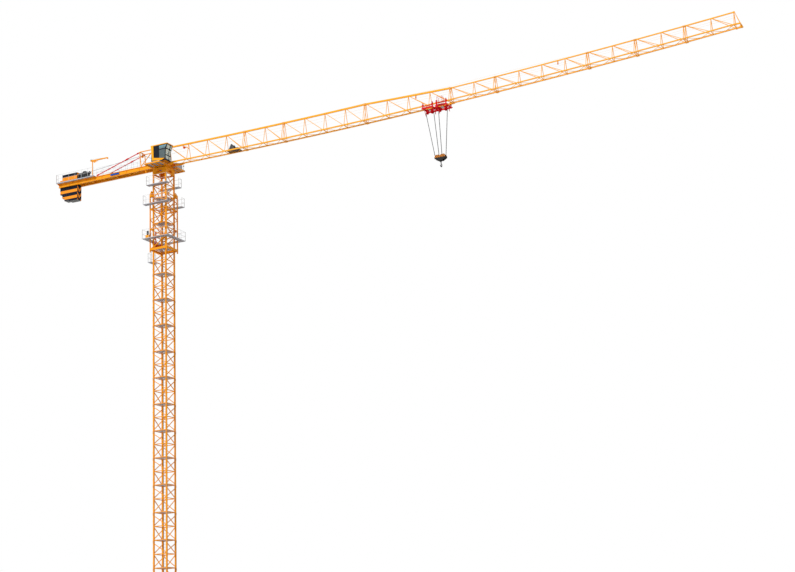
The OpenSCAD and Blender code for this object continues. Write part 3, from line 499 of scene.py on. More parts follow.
@dataclass(frozen=True)
class TintedGlass:
    """Thin tinted safety glass with a trace of dust, bluer towards its top.

    Attributes:
        name: The material's name.
        colour: Tint of the side panes.
        upper: Tint near the roof.
        fade: Heights between which the tint changes.
        front: Tint of the panes that look ahead.
        side_cover: Share of the light that the side panes hold back.
        front_cover: Share that the front panes hold back.
        dust: Colour of the dust.
    """

    name: str
    colour: str = "46565a"
    upper: str = "7ba6b6"
    fade: tuple[float, float] = (6.285, 6.345)
    front: str = "eefff8"
    side_cover: float = 0.86
    front_cover: float = 0.6
    dust: str = "8fa2a1"

    def material(self) -> bpy.types.Material:
        """The tint climbs with the height and turns with the normal; broad soft noise dusts it."""
        recipe = Recipe(self.name)
        film = recipe.noise(9.0, 2.0)
        blue = recipe.axes()[2].step(*self.fade)
        ahead = abs(recipe.facing()[0]).step(0.5, 0.9)
        tint = recipe.blend(blue, recipe.blend(film * 0.3, self.colour, self.dust), self.upper)
        cover = ahead * (self.front_cover - self.side_cover) + self.side_cover + film * 0.04
        recipe.feed({"Base Color": recipe.blend(ahead, tint, self.front), "Roughness": film * 0.05 + 0.03,
                     "Alpha": cover, "IOR": 1.45, "Specular IOR Level": 0.5})
        return recipe.material


@dataclass(frozen=True)
class Cloth:
    """Woven seat cloth with a plain weave.

    Attributes:
        name: The material's name.
        colour: The threads in the hollows.
        worn: The threads that stand proud.
        thread: Distance from one thread to the next but one.
    """

    name: str
    colour: str = "2a2c31"
    worn: str = "4c5058"
    thread: float = 1.1 * MM

    def material(self) -> bpy.types.Material:
        """Two crossed sine waves make the weave; noise fades it."""
        recipe = Recipe(self.name)
        x, y, z = recipe.axes()
        turn = 2 * math.pi / self.thread
        weave = (x * turn).sine() * (y * turn).sine() * 0.5 + (z * turn).sine() * 0.25 + 0.5
        fade = recipe.noise(40.0, 4.0)
        recipe.feed({"Base Color": recipe.blend(weave * 0.6 + fade * 0.3, self.colour, self.worn),
                     "Roughness": 0.9, "Sheen Weight": 0.3})
        recipe.bump(weave + fade * 0.3, 0.15 * MM)
        return recipe.material


@dataclass(frozen=True)
class WireRope:
    """Bright wire rope, whose strands wind along the piece's own UV map.

    Attributes:
        name: The material's name.
        light: The strands' backs.
        dark: The grease between them.
        strands: Number of strands.
    """

    name: str
    light: str = "5a5b5d"
    dark: str = "141517"
    strands: int = 6

    def material(self) -> bpy.types.Material:
        """Strands are a sine of turns round the rope plus lays along it."""
        recipe = Recipe(self.name)
        uv = recipe.out("ShaderNodeUVMap", {"uv_map": "rope"})
        around, along, _ = recipe.parts_of(uv)
        strand = ((around * self.strands + along) * (2 * math.pi)).sine() * 0.5 + 0.5
        grease = recipe.noise(60.0, 3.0)
        recipe.feed({"Base Color": recipe.blend(strand * 0.7 + grease * 0.3, self.dark, self.light),
                     "Roughness": grease * 0.2 + 0.6, "Specular IOR Level": 0.1})
        recipe.bump(strand, 0.25 * MM)
        return recipe.material


@dataclass(frozen=True)
class Machined:
    """Bare or greased machine steel.

    Attributes:
        name: The material's name.
        colour: Its clean colour.
        stain: Grease and old oil on it.
        roughness: Its roughness.
    """

    name: str
    colour: str = "8d9094"
    stain: str = "4d4a45"
    roughness: float = 0.3

    def material(self) -> bpy.types.Material:
        """Fine noise brushes the steel, broad noise stains it."""
        recipe = Recipe(self.name)
        brushed = recipe.noise(600.0, 2.0, (1, 1, 0.1))
        stains = recipe.noise(35.0, 4.0).step(0.4, 0.75)
        recipe.feed({"Base Color": recipe.blend(stains * 0.5, self.colour, self.stain), "Metallic": 0.85,
                     "Roughness": brushed * 0.15 + stains * 0.2 + self.roughness})
        recipe.bump(brushed, 0.08 * MM)
        return recipe.material


class Finishes:
    """Every finish of the crane, each made once.

    Attributes:
        stripes_down: How far the hook block's stripes reach down from its top.
        tank_share: Height of the power pack's orange tank, as a share of the pack's.
        grating_mesh: Width of a grating's mesh.
    """

    stripes_down = 31 * MM
    tank_share = 0.42
    grating_mesh = 6 * MM

    def __init__(self) -> None:
        """Makes the materials."""
        orange = {"colour": "f9a514", "deep": "d98408"}
        block_low, block_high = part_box("hook_block")
        pack_low, pack_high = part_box("power_pack")
        self.orange = SteelPaint("orange_steel_paint", **orange).material()
        # The mast's copy of the orange is darkened as painted shade, and the jib's copy below is brightened as painted
        # light; both stand for one orange paint.
        self.mast = SteelPaint("mast_orange_with_painted_shade", "f29c0e", "c97806").material()
        self.jib = SteelPaint("jib_orange_with_painted_light", "ffb11c", "e6930c").material()
        self.cab_orange = SteelPaint("orange_cab_paint", "ffb01e", "e8920e", roughness=0.3, dust=0.05,
                                     chips=0.0).material()
        self.red = SteelPaint("red_steel_paint", "d4081a", "a00612", gloss=0.08).material()
        self.tie = SteelPaint("red_tie_paint", "dc0414", "b8040f", gloss=0.05).material()
        self.dark = SteelPaint("dark_machine_paint", "505154", "2d2e31", roughness=0.45, dust=0.12, chips=0.2,
                               gloss=0.12).material()
        self.black = SteelPaint("black_machine_paint", "1f2124", "131416", roughness=0.4, dust=0.15, chips=0.2,
                                gloss=0.3).material()
        self.cab = CabPaint("navy_cab_paint", "1b2029", "0b1222", roughness=0.35, dust=0.04, chips=0.0,
                            gloss=0.08).material()
        self.blue = SteelPaint("blue_plate_paint", "0a55ae", "0a4690", roughness=0.3, dust=0.05, chips=0.0,
                               gloss=0.08).material()
        # The cabinet's own light grey, made paler still as painted light on its shaded underside.
        self.cabinet = SteelPaint("grey_cabinet_paint_with_painted_light", "c3cbd8", "a9b1be", roughness=0.45).material()
        self.ballast = BallastPaint("banded_ballast_paint", "ff9c22", "e8840f", roughness=0.6, dust=0.1,
                                    chips=0.05).material()
        self.block = StripedPaint("striped_block_paint", "1a1b1d", "0e0f11", roughness=0.4,
                                  low=block_high.z - self.stripes_down,
                                  middle=(block_low.x + block_high.x) / 2).material()
        self.pack = TwoTonePaint("power_pack_paint", **orange, other="30343a", axis=2,
                                 place=pack_low.z + (pack_high.z - pack_low.z) * self.tank_share).material()
        self.toe = Galvanised("toe_board_steel", "a3adba", "7e8894").material()
        self.steel = Galvanised("galvanised_steel").material()
        self.rail = Galvanised("galvanised_railing", "d0d2d4", "b4b7ba").material()
        # The trolley gratings' galvanised grey, partly their own pale tone and partly painted light on their shaded
        # undersides.
        self.tread = Galvanised("trolley_grating_with_painted_light", "cfe2de", "aec2bd", self.grating_mesh).material()
        self.grating = Galvanised("galvanised_grating", "c3c7d2", "a3a7b3", self.grating_mesh).material()
        self.machined = Machined("machined_steel").material()
        self.forged = SteelPaint("forged_hook_paint", "121316", "08090a", roughness=0.5, dust=0.1, chips=0.2,
                                 gloss=0.15).material()
        self.glass = TintedGlass("tinted_cab_glass").material()
        self.cloth = Cloth("woven_seat_cloth").material()
        self.rubber = SteelPaint("black_rubber", "17181a", "0e0f10", roughness=0.75, dust=0.1, chips=0.0,
                                 gloss=0.3).material()
        self.rope = WireRope("wire_rope").material()
        self.line = WireRope("thin_line", light="ffe6cc", dark="f6d2ac").material()


Mesh = tuple[np.ndarray, list[tuple[int, ...]]]
Profile = Sequence[tuple[float, float]]
SIDES = (-1, 1)
CENTRE = (0.0, 0.0, 0.0)


def mm(lengths: Any) -> np.ndarray:
    """Turns lengths in millimetres into an array in metres."""
    return np.asarray(lengths, float) * MM


def grid(points: np.ndarray, wrap_u: bool = False, wrap_v: bool = False, caps: bool = False) -> Mesh:
    """Turns a grid of points into quads.

    The face of cell (i, j) joins points (i, j), (i+1, j), (i+1, j+1) and (i, j+1); a wrapped
    direction also joins its last row to its first. Caps close the first and last rows of u.

    Args:
        points: Array of shape (nu, nv, 3).
        wrap_u: Whether u closes on itself.
        wrap_v: Whether v closes on itself.
        caps: Whether the two ends of u get a face.

    Returns:
        The points in a list, and the faces.
    """
    nu, nv = points.shape[:2]
    index = np.arange(nu * nv).reshape(nu, nv)
    if wrap_u:
        index = np.vstack([index, index[:1]])
    if wrap_v:
        index = np.hstack([index, index[:, :1]])
    quads = np.stack([index[:-1, :-1], index[1:, :-1], index[1:, 1:], index[:-1, 1:]], -1).reshape(-1, 4)
    faces = [tuple(q) for q in quads.tolist()]
    if caps:
        faces.append(tuple(range(nv)))
        faces.append(tuple(range(nu * nv - 1, nu * nv - nv - 1, -1)))
    return points.reshape(-1, 3), faces


def joined(parts: Iterable[Mesh]) -> Mesh:
    """Puts several meshes into one, with their faces renumbered."""
    points, faces, count = [], [], 0
    for part_points, part_faces in parts:
        points.append(part_points)
        faces += [tuple(i + count for i in face) for face in part_faces]
        count += len(part_points)
    return np.vstack(points), faces


def copies(part: Mesh, places: Sequence[Sequence[float]], turn: np.ndarray | None = None) -> Mesh:
    """Repeats a mesh at many places, turned by one matrix if there is one."""
    points = part[0] if turn is None else part[0] @ turn.T
    return joined((points + np.array(place), part[1]) for place in places)


def tube(path: np.ndarray, radius: Any, sides: int = 8, closed: bool = False) -> Mesh:
    """Carries a circle along a path.

    Each ring stands across the path: its first axis is the path's direction crossed with a fixed
    side direction, its second is that crossed with the direction, and a ring's point at angle a is
    the centre plus radius times (cos a first + sin a second).

    Args:
        path: Points of the centreline, (n, 3).
        radius: One radius, or one a point.
        sides: Number of sides.
        closed: Whether the path is a closed loop.

    Returns:
        The tube's mesh, with flat ends where the path is open.
    """
    ahead = np.roll(path, -1, 0) - np.roll(path, 1, 0)
    if not closed:
        ahead[0], ahead[-1] = path[1] - path[0], path[-1] - path[-2]
    ahead /= np.linalg.norm(ahead, axis=1, keepdims=True)
    spread = np.abs(ahead).mean(0)
    side = np.eye(3)[int(np.argmin(spread))]
    first = np.cross(ahead, side)
    first /= np.linalg.norm(first, axis=1, keepdims=True)
    second = np.cross(ahead, first)
    angle = np.linspace(0, 2 * np.pi, sides, endpoint=False)
    ring = np.cos(angle)[None, :, None] * first[:, None] + np.sin(angle)[None, :, None] * second[:, None]
    points = path[:, None] + ring * np.broadcast_to(np.asarray(radius, float), len(path))[:, None, None]
    return grid(points[:, ::-1], wrap_u=closed, wrap_v=True, caps=not closed)


def turned(profile: Profile, centre: Sequence[float], axis: str = "z", sides: int = 24, side: int = 1) -> Mesh:
    """Turns a profile round an axis.

    Args:
        profile: Radius and distance along the axis in millimetres; the ends close with flat faces.
        centre: Where the axis starts, in metres.
        axis: Which axis it is.
        sides: Number of sides.
        side: 1, or -1 for the profile's mirror image along the axis.

    Returns:
        The mesh: point (i, a) lies at radius_i (cos a, sin a) across the axis and distance_i along it.
    """
    radius, along = mm(profile if side > 0 else [(r, -a) for r, a in reversed(profile)]).T
    angle = np.linspace(0, 2 * np.pi, sides, endpoint=False)
    across = [radius[:, None] * np.cos(angle), radius[:, None] * np.sin(angle)]
    length = np.broadcast_to(along[:, None], across[0].shape)
    order = {"x": (length, across[0], across[1]), "y": (across[1], length, across[0]),
             "z": (across[0], across[1], length)}[axis]
    return grid(np.stack(order, -1)[:, ::-1] + np.array(centre), wrap_v=True, caps=True)


def block(low: Sequence[float], high: Sequence[float], edge: float = 0.0) -> Mesh:
    """Box with chamfered upright and level edges, as four stacked rings of eight points."""
    low, high = np.array(low, float), np.array(high, float)
    edge = max(edge, 1e-5)
    rings = []
    for inset, z in ((edge, low[2]), (0, low[2] + edge), (0, high[2] - edge), (edge, high[2])):
        x0, y0, x1, y1 = low[0] + inset, low[1] + inset, high[0] - inset, high[1] - inset
        rings.append([(x0 + edge, y0, z), (x1 - edge, y0, z), (x1, y0 + edge, z), (x1, y1 - edge, z),
                      (x1 - edge, y1, z), (x0 + edge, y1, z), (x0, y1 - edge, z), (x0, y0 + edge, z)])
    return grid(np.array(rings)[:, ::-1], wrap_v=True, caps=True)


def slab(origin: Sequence[float], low: Sequence[float], high: Sequence[float], edge: float) -> Mesh:
    """Chamfered box with its corners and chamfer in millimetres, from an origin in metres."""
    return block(np.asarray(origin) + mm(low), np.asarray(origin) + mm(high), edge * MM)


def bar(origin: Sequence[float], points: Sequence[Sequence[float]], radius: float, sides: int = 10) -> Mesh:
    """Round bar with its points and radius in millimetres, from an origin in metres."""
    return tube(np.asarray(origin) + mm(points), radius * MM, sides)


def plate(origin: Sequence[float], outline: Profile, near: float, far: float, axis: str = "y") -> Mesh:
    """Cuts a flat plate to an outline.

    Args:
        origin: Where the other lengths are counted from, in metres.
        outline: Corners across the axis in millimetres: x and z for "y", y and z for "x".
        near: Place of one face along the axis in millimetres.
        far: Place of the other face.
        axis: Axis across the plate.

    Returns:
        The plate's mesh: the outline at both places, joined, with its faces turned outwards.
    """
    a, b = mm(outline).T
    turn = 1 if (np.sum(a * np.roll(b, -1) - b * np.roll(a, -1)) > 0) == (axis == "x") else -1
    rings = []
    for place in mm(sorted((near, far))):
        level = np.full(len(a), place)
        ring = np.stack([a, level, b] if axis == "y" else [level, a, b], -1)
        rings.append(ring[::-turn])
    return grid(np.array(rings) + np.asarray(origin), wrap_v=True, caps=True)


def winding(centre: Sequence[float], half: float, drum: float, size: float, pitch: float, axis: str) -> np.ndarray:
    """Path of a rope wound on a drum.

    A point at angle a lies at the drum's radius plus half a rope times (cos a, sin a) across the
    axis, and moves evenly along the axis as the angle grows.

    Args:
        centre: Middle of the drum, in metres.
        half: Half the winding's length, in millimetres as the rest.
        drum: The drum's radius.
        size: The rope's diameter.
        pitch: Distance from turn to turn, in diameters.
        axis: "x" or "y".

    Returns:
        The path, with 20 steps a turn.
    """
    turns = int(2 * half / (size * pitch))
    angle = np.linspace(0, 2 * np.pi * turns, turns * 20 + 1)
    radius = drum + size / 2
    along = 2 * half * angle / angle[-1] - half
    across = (radius * np.cos(angle), radius * np.sin(angle))
    order = (along, across[0], across[1]) if axis == "x" else (across[0], along, across[1])
    return np.asarray(centre) + mm(np.stack(order, -1))


def hexagon_bolt(across: float, head: float, shank: float, grip: float) -> Mesh:
    """Bolt along Z, in millimetres, with its head on top, a washer under it and a nut below the grip."""
    head_ring = [(across / 2, 0), (across / 2, head * 0.8), (across * 0.42, head)]
    washer = [(across * 0.6, -head * 0.15), (across * 0.6, 0)]
    nut = [(across / 2, -grip - head * 0.9), (across / 2, -grip)]
    end = [(shank / 2, -grip - head * 1.4), (shank / 2, -grip)]
    return joined(turned(form, CENTRE, sides=sides)
                  for form, sides in ((head_ring, 6), (washer, 12), (nut, 6), (end, 8)))


def piece(name: str, mesh: Mesh, material: bpy.types.Material, body: Body | None,
          smooth: float = 40.0) -> bpy.types.Object:
    """Makes one object of a mesh, dresses it and lets it ride on a body.

    Args:
        name: The piece's name.
        mesh: Its points and faces.
        material: Its finish.
        body: The body it moves with, or None to leave it unattached.
        smooth: Greatest angle in degrees over which shading stays smooth.

    Returns:
        The object.
    """
    data = bpy.data.meshes.new(name)
    data.from_pydata(mesh[0].tolist(), [], mesh[1])
    data.shade_smooth()
    data.set_sharp_from_angle(angle=math.radians(smooth))
    data.materials.append(material)
    obj = bpy.data.objects.new(name, data)
    bpy.context.scene.collection.objects.link(obj)
    if body is not None:
        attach(obj, body.value)
    LOG.info("%s: %d faces on %s", name, len(mesh[1]), body.value if body else "a joint")
    return obj


def rope_map(obj: bpy.types.Object, path: np.ndarray, sides: int, lay: float) -> None:
    """Gives a tube its UV map: turns round the rope, and rope lays along it.

    Args:
        obj: The tube.
        path: Its centreline.
        sides: Its number of sides.
        lay: Length in which a strand goes once round.
    """
    steps = np.linalg.norm(np.diff(path, axis=0), axis=1)
    along = np.concatenate([[0.0], np.cumsum(steps)]) / lay
    data = obj.data
    corner = np.zeros(len(data.loops), np.int32)
    data.loops.foreach_get("vertex_index", corner)
    ring, side = corner // sides, corner % sides
    uv = np.stack([side / sides, along[ring]], -1)
    layer = data.uv_layers.new(name="rope")
    layer.data.foreach_set("uv", uv.astype(np.float32).ravel())


def rope(name: str, path: np.ndarray, diameter: float, material: bpy.types.Material,
         body: Body | None, sides: int = 8, lay: float = 6.5) -> bpy.types.Object:
    """Makes one wire rope along a path, with its strand map; the lay is counted in diameters."""
    obj = piece(name, tube(path, diameter / 2, sides), material, body, 180.0)
    rope_map(obj, path, sides, diameter * lay)
    return obj


@dataclass
class Camber:
    """The arc of the jib's lower chords.

    Attributes:
        radius: The arc's radius.
        centre: Its centre's x and z, taken from the trolley's joint.
        inner_height: Chord height of the inner sections.
        outer_height: Chord height of the outer sections.
        taper: Where the height changes, as two x places.
    """

    radius: float = 83.3
    centre: tuple[float, float] = field(init=False)
    inner_height: float = 203 * MM
    outer_height: float = 152 * MM
    taper: tuple[float, float] = field(init=False)

    def __post_init__(self) -> None:
        """Reads the centre from the joint and the taper from the fourth section."""
        joint = next(j for j in frame["joints"] if j["name"] == "trolley_travel")
        self.centre = (joint["pos_m"][0], joint["pos_m"][2])
        low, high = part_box("jib_section_4")
        self.taper = (low.x, high.x)

    def low(self, x: Any) -> Any:
        """Height of the lower chords' centre at x: the arc's centre less its rise there."""
        return self.centre[1] - np.sqrt(self.radius ** 2 - (np.asarray(x) - self.centre[0]) ** 2)

    def high(self, x: Any) -> Any:
        """Height of the top chord's centre at x."""
        share = np.clip((np.asarray(x) - self.taper[0]) / (self.taper[1] - self.taper[0]), 0, 1)
        return self.low(x) + self.inner_height + (self.outer_height - self.inner_height) * share

    def slim(self, x: Any) -> Any:
        """The chords' distance at x, as a share of that of the inner sections."""
        return (self.high(x) - self.low(x)) / self.inner_height


@dataclass
class PhotoCamera:
    """The camera that the photograph was taken with, in the model's frame.

    Attributes:
        place: Its place in metres.
        yaw: Heading, from +Y towards +X.
        pitch: Angle above the horizon.
        roll: Lean of the picture.
        focal: Focal length in pixels.
        width: Width of the picture in pixels.
        sensor: Width of Blender's sensor in its own millimetres.
        reach: How far the camera sees.
    """

    place: tuple[float, float, float] = (9.50624, -13.94096, 0.2606)
    yaw: float = math.radians(-25.243)
    pitch: float = math.radians(14.613)
    roll: float = math.radians(-2.4638)
    focal: float = 1516.7351
    width: float = 795.0
    sensor: float = 36.0
    reach: float = 200.0

    def build(self) -> None:
        """Makes the camera and points it: ahead, right and up are the yaw, pitch and roll's axes."""
        data = bpy.data.cameras.new("photo_camera")
        data.sensor_width = self.sensor
        data.lens = self.focal / self.width * self.sensor
        data.clip_end = self.reach
        ahead = Vector((math.sin(self.yaw) * math.cos(self.pitch),
                        math.cos(self.yaw) * math.cos(self.pitch), math.sin(self.pitch)))
        level = Vector((math.cos(self.yaw), -math.sin(self.yaw), 0))
        over = level.cross(ahead)
        right = math.cos(self.roll) * level + math.sin(self.roll) * over
        up = -math.sin(self.roll) * level + math.cos(self.roll) * over
        turn = Matrix((right, up, -ahead)).transposed().to_4x4()
        obj = bpy.data.objects.new("photo_camera", data)
        obj.matrix_world = Matrix.Translation(self.place) @ turn
        bpy.context.scene.collection.objects.link(obj)
        bpy.context.scene.camera = obj


@dataclass
class Studio:
    """Pale floor, white surroundings and soft light.

    Attributes:
        reach: Half the floor's side.
        sky: Strength of the light from all round.
        sun: Strength of the soft key light.
        sun_from: Direction from which it comes.
        sun_width: Its width in degrees.
        pale: The floor's two colours.
        bounce: The colour that the floor gives back to the crane.
    """

    reach: float = 30.0
    sky: float = 0.6
    sun: float = 2.1
    sun_from: tuple[float, float, float] = (-0.2, -0.85, 0.6)
    sun_width: float = 12.0
    pale: tuple[str, str] = ("e9e9e7", "efefed")
    bounce: str = "cfc8bc"

    def build(self) -> None:
        """Makes the floor, the world and the key light."""
        r = self.reach
        corners = np.array([(-r, -r, 0), (r, -r, 0), (r, r, 0), (-r, r, 0)], float)
        recipe = Recipe("pale_floor")
        seen = recipe.out("ShaderNodeLightPath", output="Is Diffuse Ray")
        pale = recipe.blend(recipe.noise(0.5), *self.pale)
        recipe.feed({"Base Color": recipe.blend(seen, pale, self.bounce), "Roughness": 0.9})
        data = bpy.data.meshes.new("floor")
        data.from_pydata(corners.tolist(), [], [(0, 1, 2, 3)])
        data.materials.append(recipe.material)
        floor = bpy.data.objects.new("floor", data)
        bpy.context.scene.collection.objects.link(floor)
        self.world()
        light = bpy.data.lights.new("key_light", "SUN")
        light.energy = self.sun
        light.angle = math.radians(self.sun_width)
        lamp = bpy.data.objects.new("key_light", light)
        lamp.rotation_euler = Vector(self.sun_from).to_track_quat("Z", "Y").to_euler()
        bpy.context.scene.collection.objects.link(lamp)

    def world(self) -> None:
        """White to the camera, to gloss and through glass; a plain soft level to all else."""
        world = bpy.data.worlds.new("white_surroundings")
        bpy.context.scene.world = world
        world.use_nodes = True
        tree = world.node_tree
        tree.nodes.clear()
        path = tree.nodes.new("ShaderNodeLightPath")
        seen = None
        for name in ("Is Camera Ray", "Is Glossy Ray", "Is Transmission Ray"):
            socket = path.outputs[name]
            if seen is not None:
                most = tree.nodes.new("ShaderNodeMath")
                most.operation = "MAXIMUM"
                tree.links.new(seen, most.inputs[0])
                tree.links.new(socket, most.inputs[1])
                socket = most.outputs[0]
            seen = socket
        strength = tree.nodes.new("ShaderNodeMapRange")
        strength.inputs["To Min"].default_value = self.sky
        strength.inputs["To Max"].default_value = 1.0
        background = tree.nodes.new("ShaderNodeBackground")
        background.inputs["Color"].default_value = (1, 1, 1, 1)
        output = tree.nodes.new("ShaderNodeOutputWorld")
        tree.links.new(seen, strength.inputs["Value"])
        tree.links.new(strength.outputs[0], background.inputs["Strength"])
        tree.links.new(background.outputs[0], output.inputs["Surface"])


@dataclass
class Steelwork:
    """The crane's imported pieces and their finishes."""

    finishes: Finishes

    def dress(self) -> None:
        """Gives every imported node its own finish, its row's finish, or plain orange."""
        f = self.finishes
        # f.mast, on the base frame, climbing cage, slewing support and mast sections, is the orange darkened as painted
        # shade; f.jib, on the jib sections, is the orange brightened as painted light.
        by_node = {
            # cab_body's navy finish also darkens its floor pan's orange as painted shade.
            "ballast_slabs": f.ballast, "base_frame": f.mast, "cab_body": f.cab, "cab_frame": f.cab_orange,
            "cab_glazing": f.glass, "cab_seat": f.cloth, "climbing_cage": f.mast, "climbing_gear": f.red,
            # drive_cabinet takes the grey made paler as painted light.
            "deck_gratings": f.grating, "drive_cabinet": f.cabinet, "hoist_falls": f.rope, "hoist_winch": f.dark,
            "hook": f.forged, "hook_block": f.block, "mast_landings": f.grating, "mast_ladders": f.steel,
            "mast_railings": f.rail, "mast_walkways": f.grating, "power_pack": f.pack,
            "slewing_ring": f.machined, "slewing_support": f.mast, "tie_rods": f.tie, "trolley": f.red,
            "trolley_basket": f.red, "trolley_winch": f.dark, "upper_railings": f.rail,
        }
        by_row = {"jib_section": f.jib, "mast_section": f.mast}
        for name, obj in frame["nodes"].items():
            finish = by_node.get(name) or by_row.get(name.rpartition("_")[0], f.orange)
            for slot in obj.material_slots:
                slot.material = finish
            LOG.info("%s: %s", name, finish.name)


@dataclass
class Ropes:
    """Hoist, trolley and life ropes.

    Attributes:
        finishes: The crane's finishes.
        camber: The jib's arc.
        hoist: Diameter of the hoist rope.
        line: Diameter of the trolley ropes.
        thin: Diameter of the lifelines.
        trolley_x: The trolley's place along the jib at rest.
        fall_tops: Where the pairs of falls leave the trolley, from its place.
        pair: Half the distance between the two falls of a pair.
        block_shift: How far the hook block hangs from the trolley's place.
        sheave_gap: Distance from the block's middle to a sheave.
        sheave: Radius of a sheave.
        clearance: Gap between a fall and its sheave.
        head_pulley: The tower head's pulley, x and z.
        head_pulley_r: Its radius.
        drum: Where the hoist rope leaves its drum, along and up from the winch's corner.
        root: Where it passes the jib's root, along the jib and under its first section.
        hoist_drop: How far the hoist rope runs under the lower chords' centre.
        line_drop: How far the trolley ropes run under it.
        lifelines_from: Where the lifelines in the jib start.
        lifelines_end: How far short of the tip they end.
        lifelines_in: Name, place across the jib and drop under the top chord of each of them.
        over: Where the lifeline over the top chord starts and ends.
        over_rise: Its height over the chord's centre at its ends, and what its middle adds.
    """

    finishes: Finishes
    camber: Camber
    hoist: float = 3.3 * MM
    line: float = 1.8 * MM
    thin: float = 1.6 * MM
    trolley_x: float = 3.5
    fall_tops: tuple[float, ...] = (-142 * MM, -51 * MM, 5 * MM, 108 * MM)
    pair: float = 4 * MM
    block_shift: float = 3 * MM
    sheave_gap: float = 38 * MM
    sheave: float = 20 * MM
    clearance: float = 0.3 * MM
    head_pulley: tuple[float, float] = (-0.296, 6.3345)
    head_pulley_r: float = 14 * MM
    drum: tuple[float, float] = (62 * MM, 87 * MM)
    root: tuple[float, float] = (105 * MM, 2 * MM)
    hoist_drop: float = 17 * MM
    line_drop: float = 12 * MM
    lifelines_from: float = 0.12
    lifelines_end: float = 70 * MM
    lifelines_in: tuple[tuple[str, float, float], ...] = (("upper", 6 * MM, 44 * MM), ("lower", -16 * MM, 88 * MM))
    over: tuple[float, float] = (3.16, 5.0)
    over_rise: tuple[float, float] = (12 * MM, 16 * MM)

    def build(self) -> None:
        """Makes every rope."""
        self.falls()
        self.lifelines()
        self.trolley_ropes()
        self.hoist_run()

    def falls(self) -> None:
        """Four pairs of falls between the trolley and the hook block.

        Each has a ring of points at either end alone.
        """
        low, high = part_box("hoist_falls")
        reach = self.sheave + self.hoist / 2 + self.clearance
        bottoms = [self.block_shift + s * self.sheave_gap + t * reach for s, t in product(SIDES, SIDES)]
        for number, (top, bottom) in enumerate(zip(self.fall_tops, bottoms), 1):
            for side, y in (("near", -self.pair), ("far", self.pair)):
                start = np.array([self.trolley_x + top, y, high.z])
                end = np.array([self.trolley_x + bottom, y, low.z])
                obj = rope(f"hoist_fall_{number}_{side}", np.stack([start, end]), self.hoist,
                           self.finishes.rope, None, 12)
                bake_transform(obj)
                if number == 1 and y < 0:
                    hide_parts("hoist_falls")

    def along_jib(self, start: float, end: float, height: Callable[[Any], Any], y: float,
                  count: int = 60) -> np.ndarray:
        """Path along the jib at a height that is a function of x."""
        x = np.linspace(start, end, count)
        return np.stack([x, np.full_like(x, y), height(x)], -1)

    def ride_out(self, name: str, path: np.ndarray, diameter: float) -> None:
        """Makes a rope attached to no body, with its transform baked into its points."""
        obj = rope(name, path, diameter, self.finishes.rope, None, 6)
        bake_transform(obj)

    def lifelines(self) -> None:
        """Two lifelines inside the jib, and one in a half sine wave over its outer part."""
        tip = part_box("jib_section_9")[1].x - self.lifelines_end
        for name, y, drop in self.lifelines_in:
            path = self.along_jib(self.lifelines_from, tip,
                                  lambda x: self.camber.high(x) - drop * self.camber.slim(x), y)
            rope(f"lifeline_{name}", path, self.thin, self.finishes.line, Body.UPPERWORKS, 6)
        (start, end), (least, more) = self.over, self.over_rise
        path = self.along_jib(start, end, lambda x: self.camber.high(x) + least + more * np.sin(
            np.clip((x - start) / (end - start), 0, 1) * np.pi), 0)
        rope("top_lifeline", path, self.thin, self.finishes.line, Body.UPPERWORKS, 6)

    def trolley_ropes(self) -> None:
        """Trolley ropes from the winch in the jib and from the tip's pulley to the trolley."""
        winch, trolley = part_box("trolley_winch"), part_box("trolley")
        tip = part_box("jib_section_9")[1].x
        runs = (("inner", (winch[0].x + winch[1].x) / 2, trolley[0].x + 8 * MM, 22 * MM),
                ("outer", tip - 12 * MM, trolley[1].x - 8 * MM, 0.0))
        for name, start, end, y in runs:
            path = self.along_jib(start, end, lambda x: self.camber.low(x) - self.line_drop, y)
            self.ride_out(f"trolley_rope_{name}", path, self.line)

    def hoist_run(self) -> None:
        """Hoist rope from the winch over the tower head's pulley, down at the jib's root and out to the trolley.

        It touches the pulley where its direction is square to the radius: at the rise's angle plus a
        quarter turn, and at the fall's angle plus the arc cosine of the radius over the distance.
        """
        px, pz = self.head_pulley
        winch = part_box("hoist_winch")[0]
        radius = self.head_pulley_r + self.hoist / 2
        start = np.array([winch.x + self.drum[0], 0, winch.z + self.drum[1]])
        foot = np.array([self.root[0], 0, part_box("jib_section_1")[0].z - self.root[1]])
        away, back = (px - start[0], pz - start[2]), (foot[0] - px, foot[2] - pz)
        rise = math.atan2(away[1], away[0]) + math.asin(radius / math.hypot(*away))
        fall = math.atan2(back[1], back[0]) + math.acos(radius / math.hypot(*back))
        turn = np.linspace(rise + math.pi / 2, fall, 14)
        over = np.stack([px + radius * np.cos(turn), np.zeros(14), pz + radius * np.sin(turn)], -1)
        path = np.vstack([start[None], over, foot[None]])
        rope("hoist_rope_head", path, self.hoist, self.finishes.rope, Body.UPPERWORKS)
        run = self.along_jib(foot[0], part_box("trolley")[0].x + 22 * MM,
                             lambda x: self.camber.low(x) - self.hoist_drop, 0)
        run[0] = foot
        self.ride_out("hoist_rope_run", run, self.hoist)


